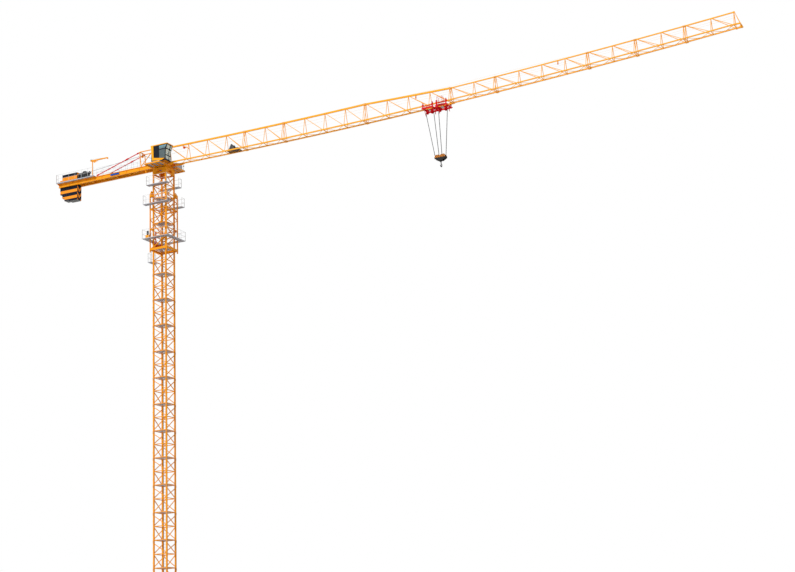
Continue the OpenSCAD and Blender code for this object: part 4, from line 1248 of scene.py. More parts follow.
@dataclass
class Fasteners:
    """Pins, bolts and anchor bolts of the steelwork.

    Attributes:
        finishes: The crane's finishes.
        camber: The jib's arc.
        sections: Number of mast sections.
        pitch: Height of a mast section.
        base: Height of the base frame.
        face: Distance from the mast axis to the face of a collar.
        leg: Distance from the mast axis to a leg's centre.
        jib_root: Where the jib's first pin sits.
        bay: Length of a jib section with two panels.
        panels: Panels of each jib section.
        jib_half: Half the distance between the lower chords.
        beside: Distance from a joint to a pin, in the mast and in the jib.
        eye_drop: How far a jib pin lies under its chord's centre.
        low_eye: Distance from a lower chord's centre to the face of its eyes.
        top_eye: The same at the top chord.
        foot_plate: Thickness of a foot plate.
        anchor: Distance from a leg's centre to an anchor bolt, both ways.
        mast_pin: Head of a mast pin.
        collar: Collar of a jib pin.
        anchor_bolt: Washer, nut and end of an anchor bolt, each with its number of sides.
    """

    finishes: Finishes
    camber: Camber
    sections: int = 19
    pitch: float = 0.3
    base: float = 40 * MM
    face: float = 93 * MM
    leg: float = 84 * MM
    jib_root: float = 77 * MM
    bay: float = 511.5 * MM
    panels: tuple[int, ...] = (4, 2, 4, 4, 2, 4, 2, 2, 2)
    jib_half: float = 52 * MM
    beside: float = 7 * MM
    eye_drop: float = 2 * MM
    low_eye: float = 8 * MM
    top_eye: float = 11.6 * MM
    foot_plate: float = 6 * MM
    anchor: float = 17 * MM
    mast_pin: Profile = ((1, -1), (3.6, -0.6), (3.6, 1.2), (2.2, 2))
    collar: Profile = ((1, 0), (3.6, 0), (3.6, 1.6), (2.4, 2.2))
    anchor_bolt: tuple[tuple[Profile, int], ...] = (
        (((5, 0), (5, 1)), 16), (((3.8, 1), (3.8, 4.4), (3.2, 5)), 6), (((2, 5), (2, 9), (1.4, 9.6)), 12))

    def build(self) -> None:
        """Makes the mast's, the jib's and the base's fasteners."""
        self.mast_pins()
        self.jib_pins()
        self.anchors()

    def mast_pins(self) -> None:
        """Two pins through each collar, above and below each joint, on both outer faces of a leg."""
        head = turned(self.mast_pin, CENTRE, "x", 10)
        heights = [self.base + k * self.pitch + s * self.beside for k in range(self.sections + 1) for s in SIDES]
        parts = []
        for angle in np.arange(4) * math.pi / 2:
            turn = np.array([[math.cos(angle), -math.sin(angle), 0], [math.sin(angle), math.cos(angle), 0],
                             [0, 0, 1]])
            places = [turn @ np.array([self.face, s * self.leg, z]) for z, s in product(heights, SIDES)]
            parts.append(copies(head, places, turn))
        piece("mast_joint_pins", joined(parts), self.finishes.machined, Body.MAST, 30)

    def jib_pins(self) -> None:
        """A pin with a collar at both ends through each chord, on both sides of each joint of the jib."""
        joints = self.jib_root + np.concatenate([[0], np.cumsum(self.panels)]) / 2 * self.bay
        parts = []
        for x in joints[:-1]:
            low, high = (float(height(x)) - self.eye_drop for height in (self.camber.low, self.camber.high))
            shifts = SIDES if x > self.jib_root else SIDES[1:]
            for y, z, eye in ((-self.jib_half, low, self.low_eye), (self.jib_half, low, self.low_eye),
                              (0.0, high, self.top_eye)):
                parts += [turned(self.collar, (x + shift * self.beside, y + s * eye, z), "y", 12, s)
                          for s, shift in product(SIDES, shifts)]
        piece("jib_joint_pins", joined(parts), self.finishes.machined, Body.UPPERWORKS, 30)

    def anchors(self) -> None:
        """Four anchor bolts with nuts and washers on each foot plate."""
        bolt = joined(turned(form, CENTRE, "z", sides) for form, sides in self.anchor_bolt)
        places = [(sx * self.leg + dx * self.anchor, sy * self.leg + dy * self.anchor, self.foot_plate)
                  for sx, sy, dx, dy in product(SIDES, repeat=4)]
        piece("anchor_bolts", copies(bolt, places), self.finishes.machined, Body.MAST, 30)


@dataclass
class HoistWinch:
    """Hoist winch: side frames, drum with its rope, gearbox, finned motor, brake and hood.

    All lengths are in millimetres, along from the near side frame and up from its foot.

    Attributes:
        finishes: The crane's finishes.
        drum: Radius of the drum.
        flange: Radius of the drum's flanges.
        rope: Diameter of the hoist rope.
        axle: Height of the drum's axle.
        width: Distance over the side frames.
        thick: Thickness of a side frame.
        rail: Place and half width of the foot rails, across.
        side_frame: Corners of a side frame, across and up.
        stays: Places of the stays between the side frames, across and up.
        hood: Corners of the hood's cheeks, along and up.
        motor: The motor's shell.
        motor_z: Height of its axle.
        fin: One of its fins.
        fins: Number of fins, and their distance.
        brake: The brake drum.
        bolts: Places of the foot bolts along the rails.
    """

    finishes: Finishes
    drum: float = 31
    flange: float = 43
    rope: float = 2.6
    axle: float = 54
    width: float = 110
    thick: float = 5
    rail: tuple[float, float] = (42, 4)
    side_frame: Profile = ((-46, 0), (46, 0), (46, 26), (30, 84), (18, 96), (-18, 96), (-30, 84), (-46, 26))
    stays: Profile = ((-38, 30), (38, 30), (-24, 90), (24, 90))
    hood: Profile = ((4, 62), (106, 62), (113, 72), (113, 97), (92, 100), (88, 108), (56, 108), (50, 96), (4, 91))
    motor: Profile = ((13, 0), (13, 19), (12, 19.5), (12, 25), (9, 28), (3, 29))
    motor_z: float = 84
    fin: Profile = ((12.5, 0), (15, 0.3), (15, 1.1), (12.5, 1.4))
    fins: tuple[int, float] = (6, 2.9)
    brake: Profile = ((6, 0), (15, 1), (22, 4), (22, 8.5), (20, 10))
    bolts: tuple[float, ...] = (12, 42, 72, 102)

    def build(self) -> None:
        """Makes the winch in place of its plain form."""
        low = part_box("hoist_winch")[0]
        at = np.array([low.x, 0, low.z])
        self.frame(at)
        barrel = [(4, 0), (self.flange - 2, 0), (self.flange, 1), (self.flange, 3), (self.flange - 2, 4),
                  (self.drum, 4)]
        inset = 8
        far = self.width - 2 * inset
        profile = barrel + [(radius, far - along) for radius, along in reversed(barrel)]
        piece("hoist_drum", turned(profile, at + mm((inset, 0, self.axle)), "x", 48), self.finishes.black,
              Body.UPPERWORKS)
        path = winding(at + mm((self.width / 2, 0, self.axle)), self.width / 2 - 14, self.drum, self.rope, 1.05, "x")
        rope("hoist_drum_rope", path, self.rope * MM, self.finishes.rope, Body.UPPERWORKS, 6)
        self.drive(at)

    def frame(self, at: np.ndarray) -> None:
        """Two side frames on foot rails, stays between them, the hood's cheeks and its lamp box."""
        w, t, (rail, half) = self.width, self.thick, self.rail
        parts = [plate(at, self.side_frame, x, x + t, "x") for x in (0, w - t)]
        parts += [slab(at, (0, s * rail - half, 0), (w + 12, s * rail + half, 9), 1) for s in SIDES]
        parts += [bar(at, [(2, y, z), (w - 2, y, z)], 2.6) for y, z in self.stays]
        parts.append(slab(at, (56, -21, 92), (86, 21, 111), 3))
        parts += [plate(at, self.hood, s * 22, s * 25) for s in SIDES]
        obj = piece("hoist_winch_frame", joined(parts), self.finishes.dark, Body.UPPERWORKS)
        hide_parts("hoist_winch")

    def drive(self, at: np.ndarray) -> None:
        """Gearbox with a stepped lid, short finned motor, brake drum and foot bolts."""
        w, count = self.width, self.fins[0]
        gear = [slab(at, (w, -25, 30), (w + 13, 25, 94), 3), slab(at, (w + 12.5, -19, 36), (w + 17, 19, 88), 2),
                slab(at, (w, -22, 0), (w + 11, 22, 28), 2)]
        piece("hoist_gearbox", joined(gear), self.finishes.dark, Body.UPPERWORKS)
        parts = [turned(self.motor, at + mm((w + 12, 0, self.motor_z)), "x", 32)]
        parts += [turned(self.fin, at + mm((w + 14 + k * self.fins[1], 0, self.motor_z)), "x", 32)
                  for k in range(count)]
        parts.append(slab(at, (w + 16, -6, self.motor_z + 12), (w + 29, 6, self.motor_z + 19), 1))
        piece("hoist_motor", joined(parts), self.finishes.dark, Body.UPPERWORKS)
        brake = turned(self.brake, at + mm((-10, 0, self.axle)), "x", 36)
        piece("hoist_brake", brake, self.finishes.black, Body.UPPERWORKS)
        places = [at + mm((x, s * self.rail[0], 9.4)) for x, s in product(self.bolts, SIDES)]
        piece("hoist_foot_bolts", copies(hexagon_bolt(6, 3, 2.4, 0.5), places), self.finishes.machined,
              Body.UPPERWORKS, 30)


@dataclass
class TrolleyWinch:
    """Rope on the trolley winch's drum, and its motor's fins.

    Lengths are in millimetres, but for the winch's place.

    Attributes:
        finishes: The crane's finishes.
        place: The winch's x in metres.
        drum: Radius of the drum.
        rope: Diameter of the trolley rope.
        axle: Height of the drum's axle over the winch's foot.
        half: Half the length of the winding.
        motor: Place of the motor's first fin from the winch's, along and up.
        fin: One of the fins.
        fins: Number of fins, and their distance.
    """

    finishes: Finishes
    place: float = 0.940
    drum: float = 24
    rope: float = 1.8
    axle: float = 32
    half: float = 19
    motor: tuple[float, float] = (44, 16)
    fin: Profile = ((11, 0), (13.5, 0.3), (13.5, 1.3), (11, 1.6))
    fins: tuple[int, float] = (9, 3)

    def build(self) -> None:
        """Makes the winding along Y, and rings round the motor."""
        at = np.array([self.place, 0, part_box("trolley_winch")[0].z])
        path = winding(at + mm((0, 0, self.axle)), self.half, self.drum, self.rope, 1.1, "y")
        rope("trolley_drum_rope", path, self.rope * MM, self.finishes.rope, Body.UPPERWORKS, 6)
        fins = [turned(self.fin, at + mm((self.motor[0] + k * self.fins[1], 0, self.motor[1])), "x", 24)
                for k in range(self.fins[0])]
        piece("trolley_motor_fins", joined(fins), self.finishes.black, Body.UPPERWORKS)


def pad(centre: Sequence[float], half: Sequence[float], crown: float, channels: int = 0, lean: float = 0.0,
        square: float = 0.35, sunk: float = 1.6 * MM, narrow: float = 1.2 * MM) -> Mesh:
    """Crowned closed cushion.

    The surface is a superellipsoid: with c(w) and s(w) the cosine and sine of w raised to a power
    with their signs kept, a point is (a c(u) c(v), b s(u) c(v), h s(v)). Its middle is raised by
    the crown times the square root of what is left to the edge, its sides are drawn in by a twentieth
    between the corners, and channels sink it along lines across X, each as a bell curve.

    Args:
        centre: The pad's centre.
        half: Half its length, width and thickness.
        crown: How far its middle rises.
        channels: Number of sewn channels.
        lean: Lean about Y, in radians.
        square: The power, which squares the outline.
        sunk: Depth of a channel.
        narrow: Width of a channel.

    Returns:
        The pad's mesh.
    """
    u = np.linspace(0, 2 * np.pi, 64, endpoint=False)
    v = np.linspace(-np.pi / 2 + 0.02, np.pi / 2 - 0.02, 33)

    def power(w: np.ndarray) -> np.ndarray:
        """Raises to the power and keeps the sign."""
        return np.sign(w) * np.abs(w) ** square

    a, b, h = half
    x = a * power(np.cos(u))[None] * power(np.cos(v))[:, None]
    y = b * power(np.sin(u))[None] * power(np.cos(v))[:, None]
    z = h * np.broadcast_to(power(np.sin(v))[:, None], x.shape)
    draw = 0.96 + 0.04 * np.abs(np.sin(2 * u))[None]
    x, y = x * draw, y * draw
    middle = np.clip(1 - np.maximum(np.abs(x) / a, np.abs(y) / b) ** 2, 0, 1)
    z = z + np.where(z > 0, crown * middle ** 0.5, 0)
    for k in range(channels):
        place = a * (2 * (k + 1) / (channels + 1) - 1)
        z = z - np.where(z > 0, 1, 0) * sunk * np.exp(-((x - place) / narrow) ** 2)
    leaning = [x * math.cos(lean) + z * math.sin(lean), y, z * math.cos(lean) - x * math.sin(lean)]
    points = np.stack(leaning, -1) + np.array(centre)
    return grid(points[:, ::-1], wrap_v=True, caps=True)


@dataclass
class CabInterior:
    """Seat, consoles, skirt and wiper of the cab. Lengths are in millimetres, but for the seat's place.

    Attributes:
        finishes: The crane's finishes.
        seat: Place of the seat's foot in metres.
        fill: How full the pads are.
        pads: Name, place from the foot, half sizes, crown, channels and lean in degrees of each pad.
        pedestal: The seat's pedestal.
        console: Distance from the seat's middle to a console's.
        lever: A lever's points, from a console's middle.
        knob: The knob of a lever.
        skirt_reach: How far the skirt runs along the cab, at its foot and at its top.
        wiper_at: Place of the wiper's hub in metres, along and across.
        wiper_z: Its height over the cab's floor.
    """

    finishes: Finishes
    seat: tuple[float, float] = (65 * MM, -144 * MM)
    fill: float = 0.7
    pads: tuple[tuple[Any, ...], ...] = (
        ("seat_cushion", (6, 0, 36), (27, 23, 6), 3, 3, 0), ("seat_back", (-18, 0, 74), (27, 21, 5), 2.5, 3, -84),
        ("seat_headrest", (-19, 0, 105), (7, 12, 4), 1.5, 0, -84))
    pedestal: Profile = ((16, 0), (16, 2), (7, 5), (7, 24), (18, 28))
    console: float = 34
    lever: tuple[tuple[float, float, float], ...] = ((28, 0, 56), (29, 0, 63), (31, 0, 70))
    knob: Profile = ((1, 0), (2.6, 1.5), (2.8, 4), (1.2, 6))
    skirt_reach: tuple[float, float] = (85, 110)
    wiper_at: tuple[float, float] = (161.2 * MM, -160 * MM)
    wiper_z: float = 68

    def build(self) -> None:
        """Makes the padded seat in place of its solid, then the hard parts round it."""
        at = np.array([*self.seat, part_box("cab_seat")[0].z])
        for name, place, half, crown, channels, lean in self.pads:
            shape = pad(at + mm(place), mm(half), crown * MM, channels, math.radians(lean))
            obj = piece(name, shape, self.finishes.cloth, Body.UPPERWORKS, 60)
            if name == "seat_cushion":
                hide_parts("cab_seat")
        self.hard_parts(at)
        self.skirt()
        self.wiper()

    def hard_parts(self, at: np.ndarray) -> None:
        """Seat pedestal, and two consoles with an armrest and a lever each."""
        parts, knobs = [turned(self.pedestal, at + mm((6, 0, 0)), "z", 28)], []
        for s in SIDES:
            beside = at + mm((0, s * self.console, 0))
            parts += [slab(beside, (-4, -7, 0), (40, 7, 56), 1.5), slab(beside, (-8, -5, 57), (18, 5, 61), 1.5),
                      bar(beside, self.lever, 1.2)]
            knobs.append(turned(self.knob, beside + mm((31, 0, 69)), "z", 14))
        piece("cab_consoles", joined(parts), self.finishes.black, Body.UPPERWORKS)
        piece("cab_lever_knobs", joined(knobs), self.finishes.rubber, Body.UPPERWORKS)

    def skirt(self) -> None:
        """Navy strip under the orange frame, deepest at the cab's rear."""
        low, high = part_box("cab_frame")
        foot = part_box("cab_body")[0].z + 0.4 * MM
        rise = (low.z - foot) / MM + 0.5
        near, far = self.skirt_reach
        side = plate((low.x, low.y, foot), [(0, 0), (near, 0), (far, rise), (0, rise)], 0.5, 3)
        rear = block((low.x, low.y + 0.5 * MM, foot), (low.x + 2.5 * MM, high.y - 1 * MM, low.z + 1 * MM), 0.4 * MM)
        piece("cab_skirt", joined([side, rear]), self.finishes.cab, Body.UPPERWORKS)

    def wiper(self) -> None:
        """Wiper with its hub, arm and blade on the upright front pane."""
        hub = np.array([*self.wiper_at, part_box("cab_body")[0].z + self.wiper_z * MM])
        parts = [bar(hub, [(0, 0, 0), (1.2, 4, 16), (1.2, 12, 40)], 0.8, 8),
                 slab(hub, (0.2, 10.6, 14), (1.4, 12.6, 42), 0.3),
                 turned([(2.4, -1.8), (2.4, 0.6), (1.4, 1.4)], hub, "x", 16)]
        piece("cab_wiper", joined(parts), self.finishes.rubber, Body.UPPERWORKS)


@dataclass
class BallastFittings:
    """Lifting eyes cast into the tops of the ballast slabs.

    Attributes:
        finishes: The crane's finishes.
        slabs: Number of slabs.
        eye: Radius of an eye.
        bar: Radius of its bar.
        side: Distance from the middle to an eye.
        sunk: Angle by which an eye's ends reach into the slab.
    """

    finishes: Finishes
    slabs: int = 8
    eye: float = 6 * MM
    bar: float = 1.3 * MM
    side: float = 24 * MM
    sunk: float = 0.25

    def build(self) -> None:
        """Half rings that stand on the slabs, two on each: points at an angle from nought to half a turn."""
        low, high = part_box("ballast_slabs")
        pitch = (high.x - low.x) / self.slabs
        angle = np.linspace(-self.sunk, math.pi + self.sunk, 13)
        parts = []
        for k, s in product(range(1, self.slabs), SIDES):
            arc = np.stack([np.full_like(angle, low.x + (k + 0.5) * pitch), s * self.side + self.eye * np.cos(angle),
                            high.z + self.eye * np.sin(angle)], -1)
            parts.append(tube(arc, self.bar, 8))
        piece("ballast_lifting_eyes", joined(parts), self.finishes.machined, Body.UPPERWORKS)


@dataclass
class RopeGuides:
    """Brackets with rope pulleys under the jib's top chord.

    Attributes:
        finishes: The crane's finishes.
        camber: The jib's arc.
        root: Place where the root's bracket meets the chord, and its pulley's place.
        hung: Places of the two straight brackets.
        drop: How far a pulley hangs under the chord's centre.
        root_cheeks: Lines of the root bracket's cheeks, along and up from its pulley in millimetres.
        hung_cheek: Line of a straight bracket's cheek.
        root_wheel: Radius of the root's pulley in millimetres.
        hung_wheel: Radius of the others.
        apart: Distance from the middle to a cheek in millimetres.
    """

    finishes: Finishes
    camber: Camber
    root: tuple[float, float] = (0.262, 0.286)
    hung: tuple[float, ...] = (3.247, 4.87)
    drop: float = 36 * MM
    root_cheeks: tuple[Profile, ...] = (((-24, 30), (-18, 20), (0, 0)),
                                        ((0, 0), (18, 2), (38, -3), (52, -16), (56, -30)))
    hung_cheek: Profile = ((2, 31), (1, 16), (0, 0))
    root_wheel: float = 15
    hung_wheel: float = 6.5
    apart: float = 7.5

    def build(self) -> None:
        """Builds the root's bracket and the hung ones."""
        chord, wheel = self.root
        self.bracket("rope_guide_1", self.root_cheeks, chord, wheel, self.root_wheel)
        for number, x in enumerate(self.hung, 2):
            self.bracket(f"rope_guide_{number}", (self.hung_cheek,), x, x, self.hung_wheel)

    def bracket(self, name: str, cheeks: Sequence[Profile], chord: float, x: float, radius: float) -> None:
        """Two bent cheeks along each line, with a grooved pulley on a pin between them.

        Args:
            name: The bracket's name.
            cheeks: Lines of the cheeks.
            chord: Where the bracket meets the chord.
            x: Place of the pin along the jib.
            radius: The pulley's radius.
        """
        pin = np.array([x, 0, float(self.camber.high(chord)) - self.drop])
        parts = [bar(pin, [(a, s * self.apart, b) for a, b in line], 3.2) for line, s in product(cheeks, SIDES)]
        parts.append(bar(pin, [(0, -12, 0), (0, 12, 0)], 2.2, 12))
        piece(name, joined(parts), self.finishes.orange, Body.UPPERWORKS)
        groove = [(2, -4), (radius, -4), (radius - 2, -1.2), (radius - 2, 1.2), (radius, 4), (2, 4)]
        piece(f"{name}_pulley", turned(groove, pin, "y", 28), self.finishes.red, Body.UPPERWORKS)


@dataclass
class TrolleyFittings:
    """Gratings, wheel caps, buffers, rope guards and arm caps of the trolley.

    Places along the jib are in metres, all else is in millimetres.

    Attributes:
        finishes: The crane's finishes.
        camber: The jib's arc.
        middle: The trolley's place at rest.
        frames: Where the two frames start.
        gratings: Where each grating starts, and its width.
        length: Length of a frame.
        side: Distance from the middle to a frame's side plate.
        low: Drop from the chords to the frames' foot.
        arm: Width of an arm.
        inset: Distance from a frame's end to its arm.
        wheel: Height of a wheel's axle over the chord's centre.
        cap: Cap of a wheel.
        buffer: Rubber buffer.
        guards: Place and lean of each pair of rope guards.
        arm_cap: Corners of an arm's cap, along and up from the chord.
    """

    finishes: Finishes
    camber: Camber
    middle: float = 3.5
    frames: tuple[float, float] = (3.345, 3.504)
    gratings: Profile = ((3.393, 21), (3.540, 33))
    length: float = 127
    side: float = 65
    low: float = 46
    arm: float = 12
    inset: float = 2
    wheel: float = 13.9
    cap: Profile = ((1, 0), (5, 0), (5, 1.2), (2.5, 2.4))
    buffer: Profile = ((3.6, 0), (3.6, 2), (3, 5), (1.4, 6))
    guards: Profile = ((3.353, 1.5), (3.464, 3), (3.512, 2.5), (3.623, 5))
    arm_cap: Profile = ((-13, -6), (13, -6), (6.5, 8), (2, 26), (-2, 26), (-6.5, 8))

    def build(self) -> None:
        """Makes every fitting on the trolley's body."""
        foot = float(self.camber.low(self.middle)) - self.low * MM
        plates = [slab((x, 0, foot), (0, -32, 3), (width, 32, 4.6), 0.3) for x, width in self.gratings]
        # Their pale colour is partly painted light on the shaded undersides.
        piece("trolley_gratings", joined(plates), self.finishes.tread, Body.TROLLEY)
        caps = [turned(self.cap, (x, s * (self.side + 5) * MM, float(self.camber.low(x)) + self.wheel * MM), "y", 18, s)
                for pair in self.arms() for x in pair for s in SIDES]
        ends = ((self.frames[0] - 6 * MM, -1), (self.frames[1] + (self.length + 6) * MM, 1))
        buffers = [turned(self.buffer, (x, s * (self.side + 2.5) * MM, foot + 9 * MM), "x", 18, turn)
                   for x, turn in ends for s in SIDES]
        piece("trolley_wheel_caps", joined(caps), self.finishes.machined, Body.TROLLEY, 30)
        piece("trolley_buffers", joined(buffers), self.finishes.rubber, Body.TROLLEY, 30)
        self.rope_guards(foot)
        self.arm_caps()

    def arms(self) -> list[tuple[float, float]]:
        """Places of the two arms of each frame."""
        end = self.inset + self.arm / 2
        return [(start + end * MM, start + (self.length - end) * MM) for start in self.frames]

    def rope_guards(self, foot: float) -> None:
        """Pairs of bent bars that hang under the cross bars."""
        parts = [bar((x, 0, foot), [(0, s * 24, 6), (0, s * 22, -6), (lean, s * 4, -34), (lean * 2, s * 2, -56)], 2.7)
                 for (x, lean), s in product(self.guards, SIDES)]
        piece("trolley_rope_guards", joined(parts), self.finishes.red, Body.TROLLEY)

    def arm_caps(self) -> None:
        """Side rails that join the two arms of a frame, and a cap on each arm."""
        parts = []
        for (near, far), s in product(self.arms(), SIDES):
            z0, z1 = (float(self.camber.low(x)) for x in (near, far))
            run, rise = (far - near) / MM, (z1 - z0) / MM
            parts.append(plate((near, 0, z0), [(0, -12), (run, rise - 12), (run, rise - 5), (0, -5)],
                               s * (self.side + 0.5), s * (self.side + 4.5)))
            parts += [plate((x, 0, z), self.arm_cap, s * (self.side - 0.5), s * (self.side + 5.5))
                      for x, z in ((near, z0), (far, z1))]
        piece("trolley_arm_caps", joined(parts), self.finishes.red, Body.TROLLEY)


@dataclass
class CounterJibFittings:
    """Bare name plate of the counter-jib, and the derrick's pulley, gusset and rope.

    Attributes:
        finishes: The crane's finishes.
        name_plate: Low and high x of the plate.
        name_plate_z: Drop from the counter-jib's top to the plate's foot and top, in millimetres.
        beam: Distance from the middle to the near face of the beam's flange, in millimetres.
        web: Distance from the middle to the beam's web.
        derrick_y: The derrick's place across the counter-jib.
        groove: Profile of the derrick's pulley.
        gusset: Corners of its gusset, along and up from the arm's low end.
        lead: Points of its rope from the pulley's top, and from the arm's tip.
    """

    finishes: Finishes
    name_plate: tuple[float, float] = (-0.709, -0.587)
    name_plate_z: tuple[float, float] = (33, 12)
    beam: float = 60
    web: float = 52
    derrick_y: float = -50
    groove: Profile = ((2, -3), (9.5, -3), (7.5, -1), (7.5, 1), (9.5, 3), (2, 3))
    gusset: Profile = ((32, 0), (32, -14), (40, -14), (98, 0))
    lead: tuple[tuple[float, float], ...] = ((0, 25), (-60, 14.5), (-6, 12.5))

    def build(self) -> None:
        """Makes the plate with its posts, and the derrick's rope gear."""
        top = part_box("counter_jib")[1].z
        x0, x1 = self.name_plate
        foot, head = self.name_plate_z
        length, face = (x1 - x0) / MM, -self.beam
        parts = [slab((x0, 0, top), (0, face - 0.6, -foot), (length, face + 1.2, -head), 0.5)]
        parts += [slab((x0, 0, top), (x, face + 1.2, 6 - foot), (x + 4, -self.web, -head - 6), 0.3)
                  for x in (8, length - 12)]
        piece("name_plate_bare", joined(parts), self.finishes.blue, Body.UPPERWORKS)
        self.derrick()

    def derrick(self) -> None:
        """Pulley at the tail of the derrick's arm, gusset under it, and the rope to its tip."""
        low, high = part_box("derrick_arm")
        tail = np.array([low.x + 6 * MM, self.derrick_y * MM, low.z + 9 * MM])
        tip = np.array([high.x - 7 * MM, tail[1], tail[2]])
        piece("derrick_tail_pulley", turned(self.groove, tail + mm((0, 0, 16)), "y", 28), self.finishes.dark,
              Body.DERRICK)
        gusset = plate((tail[0] + 6 * MM, tail[1], low.z + 1 * MM), self.gusset, -2, 2)
        piece("derrick_gusset", gusset, self.finishes.orange, Body.DERRICK)
        path = np.array([place + mm((x, 0, z)) for place, (x, z) in zip((tail, tip, tip), self.lead)])
        rope("derrick_rope", path, 1.4 * MM, self.finishes.rope, Body.DERRICK, 6)


@dataclass
class TieRods:
    """Red ties of two round rods each, with couplings, forks and pins.

    Lengths are in millimetres, but for the ends' places.

    Attributes:
        finishes: The crane's finishes.
        low: Lower end's x and z in metres.
        high: Upper end's x and z in metres.
        side: Distance from the middle to a tie.
        rod: Diameter of a rod.
        gap: Half the distance between a tie's rods.
        short: How far short of the upper and the lower pin the rods end.
        couplings: Shares of the length at which couplings start and end, and their radius.
        swell: Shares of a coupling's length, and its radius there as a share of its greatest.
        socket: Radius of a fork's socket and distance from the pin.
        cheek: Distance from a fork's middle to its cheeks.
        eye: Eye of a cheek.
        pin: Pin through the fork.
    """

    finishes: Finishes
    low: tuple[float, float] = (-0.911, 6.2025)
    high: tuple[float, float] = (-0.310, 6.3705)
    side: float = 50
    rod: float = 5.2
    gap: float = 3.1
    short: tuple[float, float] = (12, 14)
    couplings: tuple[tuple[float, float, float], ...] = ((0.25, 0.31, 8.5), (0.61, 0.637, 7))
    swell: Profile = ((0, 0.6), (0.04, 0.9), (0.12, 1), (0.88, 1), (0.96, 0.9), (1, 0.6))
    socket: Profile = ((6, 7), (8.4, 10), (8.4, 28), (5, 32))
    cheek: float = 3.4
    eye: Profile = ((2, -1.2), (5.6, -1.2), (5.6, 1.2), (2, 1.2))
    pin: Profile = ((1, -5.2), (3.2, -5.2), (3.2, -4.7), (2.2, -4.7), (2.2, 4.7), (3.2, 4.7), (3.2, 5.2), (1, 5.2))

    def build(self) -> None:
        """Makes both ties and puts them in place of the plain rods."""
        start = np.array([self.high[0], 0, self.high[1]])
        end = np.array([self.low[0], 0, self.low[1]])
        along = (end - start) / np.linalg.norm(end - start)
        across = np.array([-along[2], 0, along[0]])
        shares, swell = np.array(self.swell).T
        rod = np.array([start + along * self.short[0] * MM, end - along * self.short[1] * MM])
        parts = []
        for s in SIDES:
            offset = mm((0, s * self.side, 0))
            parts += [tube(rod + offset + across * turn * self.gap * MM, self.rod / 2 * MM, 12) for turn in SIDES]
            for first, last, radius in self.couplings:
                places = first + (last - first) * shares[:, None]
                parts.append(tube(start + (end - start) * places + offset, radius * MM * swell, 16))
            parts += self.fork(start + offset, along) + self.fork(end + offset, -along)
        obj = piece("paired_tie_rods", joined(parts), self.finishes.tie, Body.UPPERWORKS)
        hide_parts("tie_rods")

    def fork(self, place: np.ndarray, along: np.ndarray) -> list[Mesh]:
        """Socket that takes both rods, two cheeks with eyes, and a pin through them.

        Args:
            place: The pin's middle.
            along: Direction from the pin along the rods.

        Returns:
            The fork's meshes.
        """
        radii, away = mm(self.socket).T
        sides = [mm((0, s * self.cheek, 0)) for s in SIDES]
        cheek = np.array([place - along * 5 * MM, place + along * 12 * MM])
        return [tube(place + along * away[:, None], radii, 16), *(tube(cheek + side, 1.7 * MM, 8) for side in sides),
                *(turned(self.eye, place + side, "y", 20) for side in sides), turned(self.pin, place, "y", 16)]


@dataclass
class ToeBoards:
    """Toe boards round the walkway decks of the counter-jib.

    Attributes:
        finishes: The crane's finishes.
        side: Distance from the middle to a board.
        end: Where the side boards end.
        height: Height of a board.
        thick: Thickness of a board.
        lip: Width of the lip on top.
        clearance: Gap under a board and behind the last one.
        edge: Chamfer of the boards' edges.
    """

    finishes: Finishes
    side: float = 91 * MM
    end: float = -0.926
    height: float = 11 * MM
    thick: float = 1.2 * MM
    lip: float = 4 * MM
    clearance: float = 0.5 * MM
    edge: float = 0.2 * MM

    def build(self) -> None:
        """A board with a lip along each side, and a plain board across the end."""
        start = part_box("deck_gratings")[0].x + self.clearance
        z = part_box("counter_jib")[1].z + self.clearance
        t, h = self.thick, self.height
        parts = []
        for s, (width, foot) in product(SIDES, ((t, z), (self.lip, z + h - t))):
            y0, y1 = sorted((s * self.side, s * (self.side - width)))
            parts.append(block((start, y0, foot), (self.end, y1, z + h), self.edge))
        parts.append(block((start, -self.side, z), (start + t, self.side, z + h), self.edge))
        piece("counter_jib_toe_boards", joined(parts), self.finishes.toe, Body.UPPERWORKS)


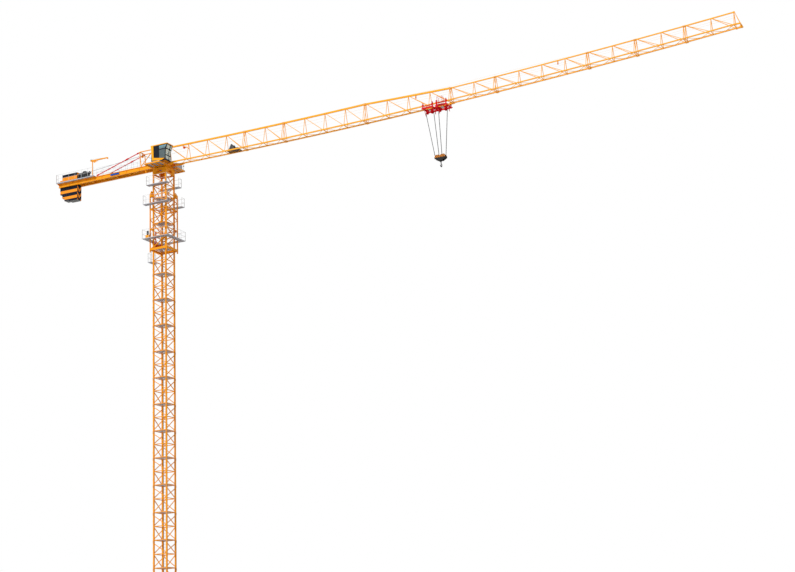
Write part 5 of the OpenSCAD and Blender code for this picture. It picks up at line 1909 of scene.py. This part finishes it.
@dataclass
class SlewingFittings:
    """Gear of the slewing ring, working lamp, switch boxes and gussets of the jib's root.

    Attributes:
        finishes: The crane's finishes.
        teeth: Number of teeth.
        ring: Outer radius of the ring.
        tooth: Distance from the ring to the teeth's middle, and half their height.
        steep: How steep the teeth's flanks are.
        band: Distance from the ring's foot to the teeth, and from the teeth to its top.
        lamp_at: Place of the lamp.
        lamp_foot: Foot plate of its post, in millimetres.
        lamp_head: Its housing.
        boxes: Low and high corners and edge of each switch box, under the jib's first section.
        gusset: Corners of a root gusset, along and up from the first section's low corner.
    """

    finishes: Finishes
    teeth: int = 96
    ring: float = 73 * MM
    tooth: tuple[float, float] = (1.2 * MM, 1.0 * MM)
    steep: float = 1.8
    band: tuple[float, float] = (5.4 * MM, 0.6 * MM)
    lamp_at: tuple[float, float] = (129 * MM, 221 * MM)
    lamp_foot: Profile = ((5, 0.3), (5, 2), (2, 3))
    lamp_head: Profile = ((4, 44), (7, 47), (7, 59), (3, 63))
    boxes: tuple[tuple[Any, ...], ...] = (((137, -9, -12), (154, 9, 0), 2), ((118, -6, -7), (131, 6, 0), 1.5))
    gusset: Profile = ((6, -0.5), (150, -0.5), (176, 8), (150, 18), (6, 18))

    def build(self) -> None:
        """Makes the gear ring, the lamp with its boxes, and the gussets."""
        low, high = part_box("slewing_ring")
        self.gear(low.z + self.band[0], high.z - self.band[1])
        self.lamp()
        self.root()

    def gear(self, z0: float, z1: float) -> None:
        """Toothed band: the radius is the ring's plus a sine of the angle times the teeth, cut off flat."""
        count = self.teeth * 8
        angle = np.linspace(0, 2 * np.pi, count, endpoint=False)
        wave = np.clip(np.sin(angle * self.teeth) * self.steep, -1, 1)
        outer = self.ring + self.tooth[0] + self.tooth[1] * wave
        inner = np.full(count, self.ring - 0.4 * MM)
        rings = [(inner, z0), (outer, z0), (outer, z1), (inner, z1)]
        points = np.stack([np.stack([radius * np.cos(angle), radius * np.sin(angle), np.full(count, z)], -1)
                           for radius, z in rings])
        piece("slewing_gear", grid(points[:, ::-1], wrap_u=True, wrap_v=True), self.finishes.machined, Body.MAST,
              40)

    def lamp(self) -> None:
        """Grey working lamp on a post at the far deck's front corner, and red switch boxes by the jib's root."""
        at = np.array([*self.lamp_at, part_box("deck_gratings")[0].z + 3 * MM])
        parts = [bar(at, [(0, 0, 0.3), (0, 0, 45)], 1.8), turned(self.lamp_foot, at, "z", 20),
                 turned(self.lamp_head, at, "z", 20)]
        piece("working_lamp", joined(parts), self.finishes.steel, Body.UPPERWORKS)
        under = (0, 0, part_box("jib_section_1")[0].z + 1.4 * MM)
        boxes = [slab(under, low, high, edge) for low, high, edge in self.boxes]
        piece("jib_switch_boxes", joined(boxes), self.finishes.red, Body.UPPERWORKS)

    def root(self) -> None:
        """Plate between the jib's lower chords at its root, and a gusset beside each of them."""
        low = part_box("jib_section_1")[0]
        at = (low.x, 0, low.z)
        parts = [slab(at, (8, -54, 1), (80, 54, 4), 0.8)]
        parts += [plate(at, self.gusset, s * 59, s * 61) for s in SIDES]
        # The root gussets take the jib's orange, brightened as painted light.
        piece("jib_root_gussets", joined(parts), self.finishes.jib, Body.UPPERWORKS)


def main() -> None:
    """Builds the camera, the light, the finishes and every piece in order."""
    logging.basicConfig(level=logging.INFO, format="%(message)s")
    bpy.context.scene.view_settings.view_transform = "Standard"
    PhotoCamera().build()
    Studio().build()
    finishes = Finishes()
    camber = Camber()
    Steelwork(finishes).dress()
    for assembly in (Ropes(finishes, camber), Fasteners(finishes, camber), HoistWinch(finishes),
                     TrolleyWinch(finishes), CabInterior(finishes), BallastFittings(finishes),
                     RopeGuides(finishes, camber), TrolleyFittings(finishes, camber), CounterJibFittings(finishes),
                     TieRods(finishes), ToeBoards(finishes), SlewingFittings(finishes)):
        assembly.build()


if __name__ == "__main__":
    main()
